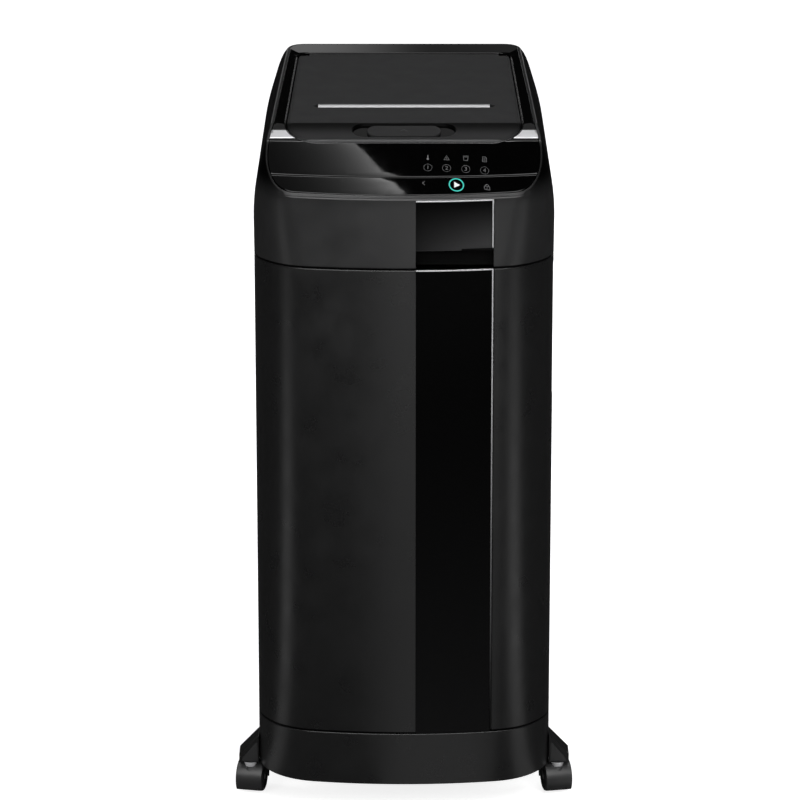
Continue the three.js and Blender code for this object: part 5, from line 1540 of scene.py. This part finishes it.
def build_caster(name):
    stem, axle, across = caster_frame(name)
    up = Vector((0, 0, 1))
    trail = up.cross(across)
    if (axle - stem).dot(trail) < 0:
        trail = -trail
    wheels, housing, foot = f"wheels_{name}", f"caster_{name}", (stem.x, stem.y, 0)
    r, inner, outer = WHEEL_RADIUS, 0.0053, HALF_TRACK - 0.0003
    profile = [(0.0046, inner), (r - 0.0014, inner), (r - 0.0004, inner + 0.0006), (r, inner + 0.0018),
               (r, outer - 0.0032), (r - 0.0006, outer - 0.0016), (r - 0.0022, outer - 0.0006),
               (r - 0.0046, outer - 0.0004), (r - 0.0056, outer - 0.0018), (r - 0.0108, outer - 0.0022),
               (r - 0.0122, outer - 0.0008), (0.0046, outer - 0.0004)]
    for label, side in (("inner", -1), ("outer", 1)):
        turned = [(radius, side * along) for radius, along in profile]
        lathe_piece(f"caster_wheel_{name}_{label}", turned, axle, across, "rubber", 72, body=wheels,
                    replaces=(f"caster_wheels_{name}",) if side > 0 else ())
    pin = [(AXIS_GAP, -0.0172), (0.0036, -0.0172), (0.004, -0.0168), (0.004, 0.0168), (0.0036, 0.0172),
           (AXIS_GAP, 0.0172)]
    lathe_piece(f"caster_axle_{name}", pin, axle, across, "plate_steel", 32, body=wheels)
    hood_pieces(name, axle, across, trail, up, housing)
    collar = [(0.0052, 0.0384), (0.0062, 0.0384), (0.0068, 0.0388), (0.0088, 0.0440), (0.0086, 0.0452),
              (0.0052, 0.0452)]
    lathe_piece(f"caster_collar_{name}", collar, foot, up, "plate_steel", 48, body=housing, finish=silver_paint)
    post = [(AXIS_GAP, 0.032), (0.005, 0.032), (0.005, 0.0592), (0.0044, 0.0598), (AXIS_GAP, 0.0598)]
    lathe_piece(f"caster_stem_{name}", post, foot, up, "plate_steel", 32, body=housing)
    neck = [(AXIS_GAP, 0.0335), (0.0098, 0.0335), (0.0092, 0.0352), (0.0084, 0.0371), (AXIS_GAP, 0.0371)]
    lathe_piece(f"caster_neck_{name}", neck, foot, up, "caster_black", 48, body=housing)


def hood_pieces(name, axle, across, trail, up, body):
    """Curved shroud over both wheels and a web between them."""
    def place(angle, radius, along):
        return axle + trail * (radius * cos(angle)) + up * (radius * sin(angle)) + across * along

    start, end = radians(-20), radians(215)
    outer, inner, soft, half = HOOD_RADIUS, HOOD_RADIUS - HOOD_WALL, 0.0012, HALF_TRACK - 0.0001
    ring = [(outer - soft, -half), (outer - 0.3 * soft, -half + 0.3 * soft), (outer, -half + soft),
            (outer + 0.0001, -half * 0.5), (outer + 0.0001, half * 0.5), (outer, half - soft),
            (outer - 0.3 * soft, half - 0.3 * soft), (outer - soft, half), (inner, half), (inner, -half)]
    sections = [[place(angle, *point) for point in ring] for angle in spread(start, end, radians(6))]
    new_piece(f"caster_hood_{name}", *sweep_mesh(sections, closed=False), "caster_black", body=body,
              replaces=(f"caster_housing_{name}",))
    rim = HOOD_RADIUS - 0.001
    outline = [(rim * cos(angle), rim * sin(angle)) for angle in spread(start, end, radians(8))]
    web = prism_mesh(outline + [(0.0, -0.0075)],
                     lambda a, b, side: axle + trail * a + up * b + across * (0.0045, -0.0045)[side])
    round_edges(new_piece(f"caster_web_{name}", *web, "caster_black", body=body), 0.0006, 2)


def build_casters():
    for name in ("front_left", "front_right", "rear_left", "rear_right"):
        build_caster(name)
    for name, side in SIDES:
        smooth_copy(f"caster_bracket_{name}", "cabinet_black", 0.0012)
        low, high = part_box(f"caster_bracket_{name}")
        outer, wall, foot, head = max(-low.x, high.x) - 0.004, HALF_WIDTH + 0.002, low.z + 0.002, high.z - 0.012
        web = [(outer, foot), (wall, foot), (wall, head), (HALF_WIDTH + 0.005, head), (outer, foot + 0.004)]
        web = [(side * x, z) for x, z in (web if side < 0 else web[::-1])]
        plate = new_piece(f"bracket_web_{name}",
                          *prism_mesh(web, lambda x, z, end: (x, low.y - (0.0009, 0.0)[end], z)), "caster_black")
        round_edges(plate, 0.0003, 2)


# ---------------------------------------------------------------- inner parts
node_body = {node: body for body, nodes in frame["record"]["behaviour"]["bodies"].items() for node in nodes}

INNER_PARTS = {
    "plate_steel": "cabinet_runner_left cabinet_runner_right drawer_runner_left drawer_runner_right deck_plate"
                   " end_plate_left end_plate_right bearing_block_left bearing_block_right motor_body power_supply",
    "inner_black": "drawer_frame paper_tray pressure_plate stripper_front stripper_rear gearbox_cover power_inlet"
                   " switch_housing rocker_switch rear_vent",
    "rubber": "feed_roller_front feed_roller_rear feed_belt_front feed_belt_rear",
    "tool_steel": "cutter_front cutter_rear motor_rotor",
    "gear_nylon": "cutter_gear drive_gear reduction_gear",
    "board_green": "control_board main_board",
}


def build_inner_parts():
    for slot, nodes in INNER_PARTS.items():
        for node in nodes.split():
            smooth_copy(node, slot, 0.0003)


def build_waste_bin():
    """Drawn-wall bin with a rolled rim and floor rounding."""
    low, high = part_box("waste_bin")
    rim, draft, corner, wall, fillet = 0.006, 0.009, 0.040, 0.0026, 0.012
    half, front, back = high.x - rim, low.y + rim, high.y - rim

    def ring(z, inset):
        radius = max(corner - inset, 0.004)
        x1, y0, y1 = half - inset - radius, front + inset + radius, back - inset - radius
        return [Vector((cx + radius * cos(angle), cy + radius * sin(angle), z))
                for turn, (cx, cy) in enumerate(((x1, y1), (-x1, y1), (-x1, y0), (x1, y0)))
                for angle in spread(turn * pi / 2, (turn + 1) * pi / 2, pi / 20)]

    def wall_inset(z):
        return draft * (high.z - z) / (high.z - low.z)

    def rounding(t, extra):
        z = low.z + extra + fillet * (1 - cos(t))
        return ring(z, wall_inset(z) + extra + fillet * (1 - sin(t)))

    rows = [ring(low.z, draft + fillet)] + [rounding(t, 0.0) for t in spread(0, pi / 2, pi / 8)]
    rows += [ring(z, wall_inset(z)) for z in (high.z - 0.012, high.z - 0.005)]
    rows += [ring(high.z - drop, inset) for drop, inset in ((0.005, -rim), (0.0035, -rim), (0.0008, -rim + 0.0006),
                                                            (0.0, -rim + 0.0018), (0.0, wall - 0.0012), (0.001, wall))]
    rows += [ring(z, wall_inset(z) + wall) for z in (high.z - 0.02, low.z + fillet)]
    rows += [rounding(t, wall) for t in reversed(spread(0, pi / 2, pi / 6))]
    new_piece("bin_tub", *sweep_mesh(rows, closed=False), "bin_grey", body="drawer", replaces=("waste_bin",), angle=40)


# ---------------------------------------------------------------- assembly
for build in (
    place_camera, build_world, build_floor, build_lights, build_cards, build_base, build_cabinet,
    build_drawer_front, build_strips, build_head, build_gloss_panels, build_lid, build_latch, build_slot_trim,
    build_symbols, build_casters, build_inner_parts, build_waste_bin,
):
    build()
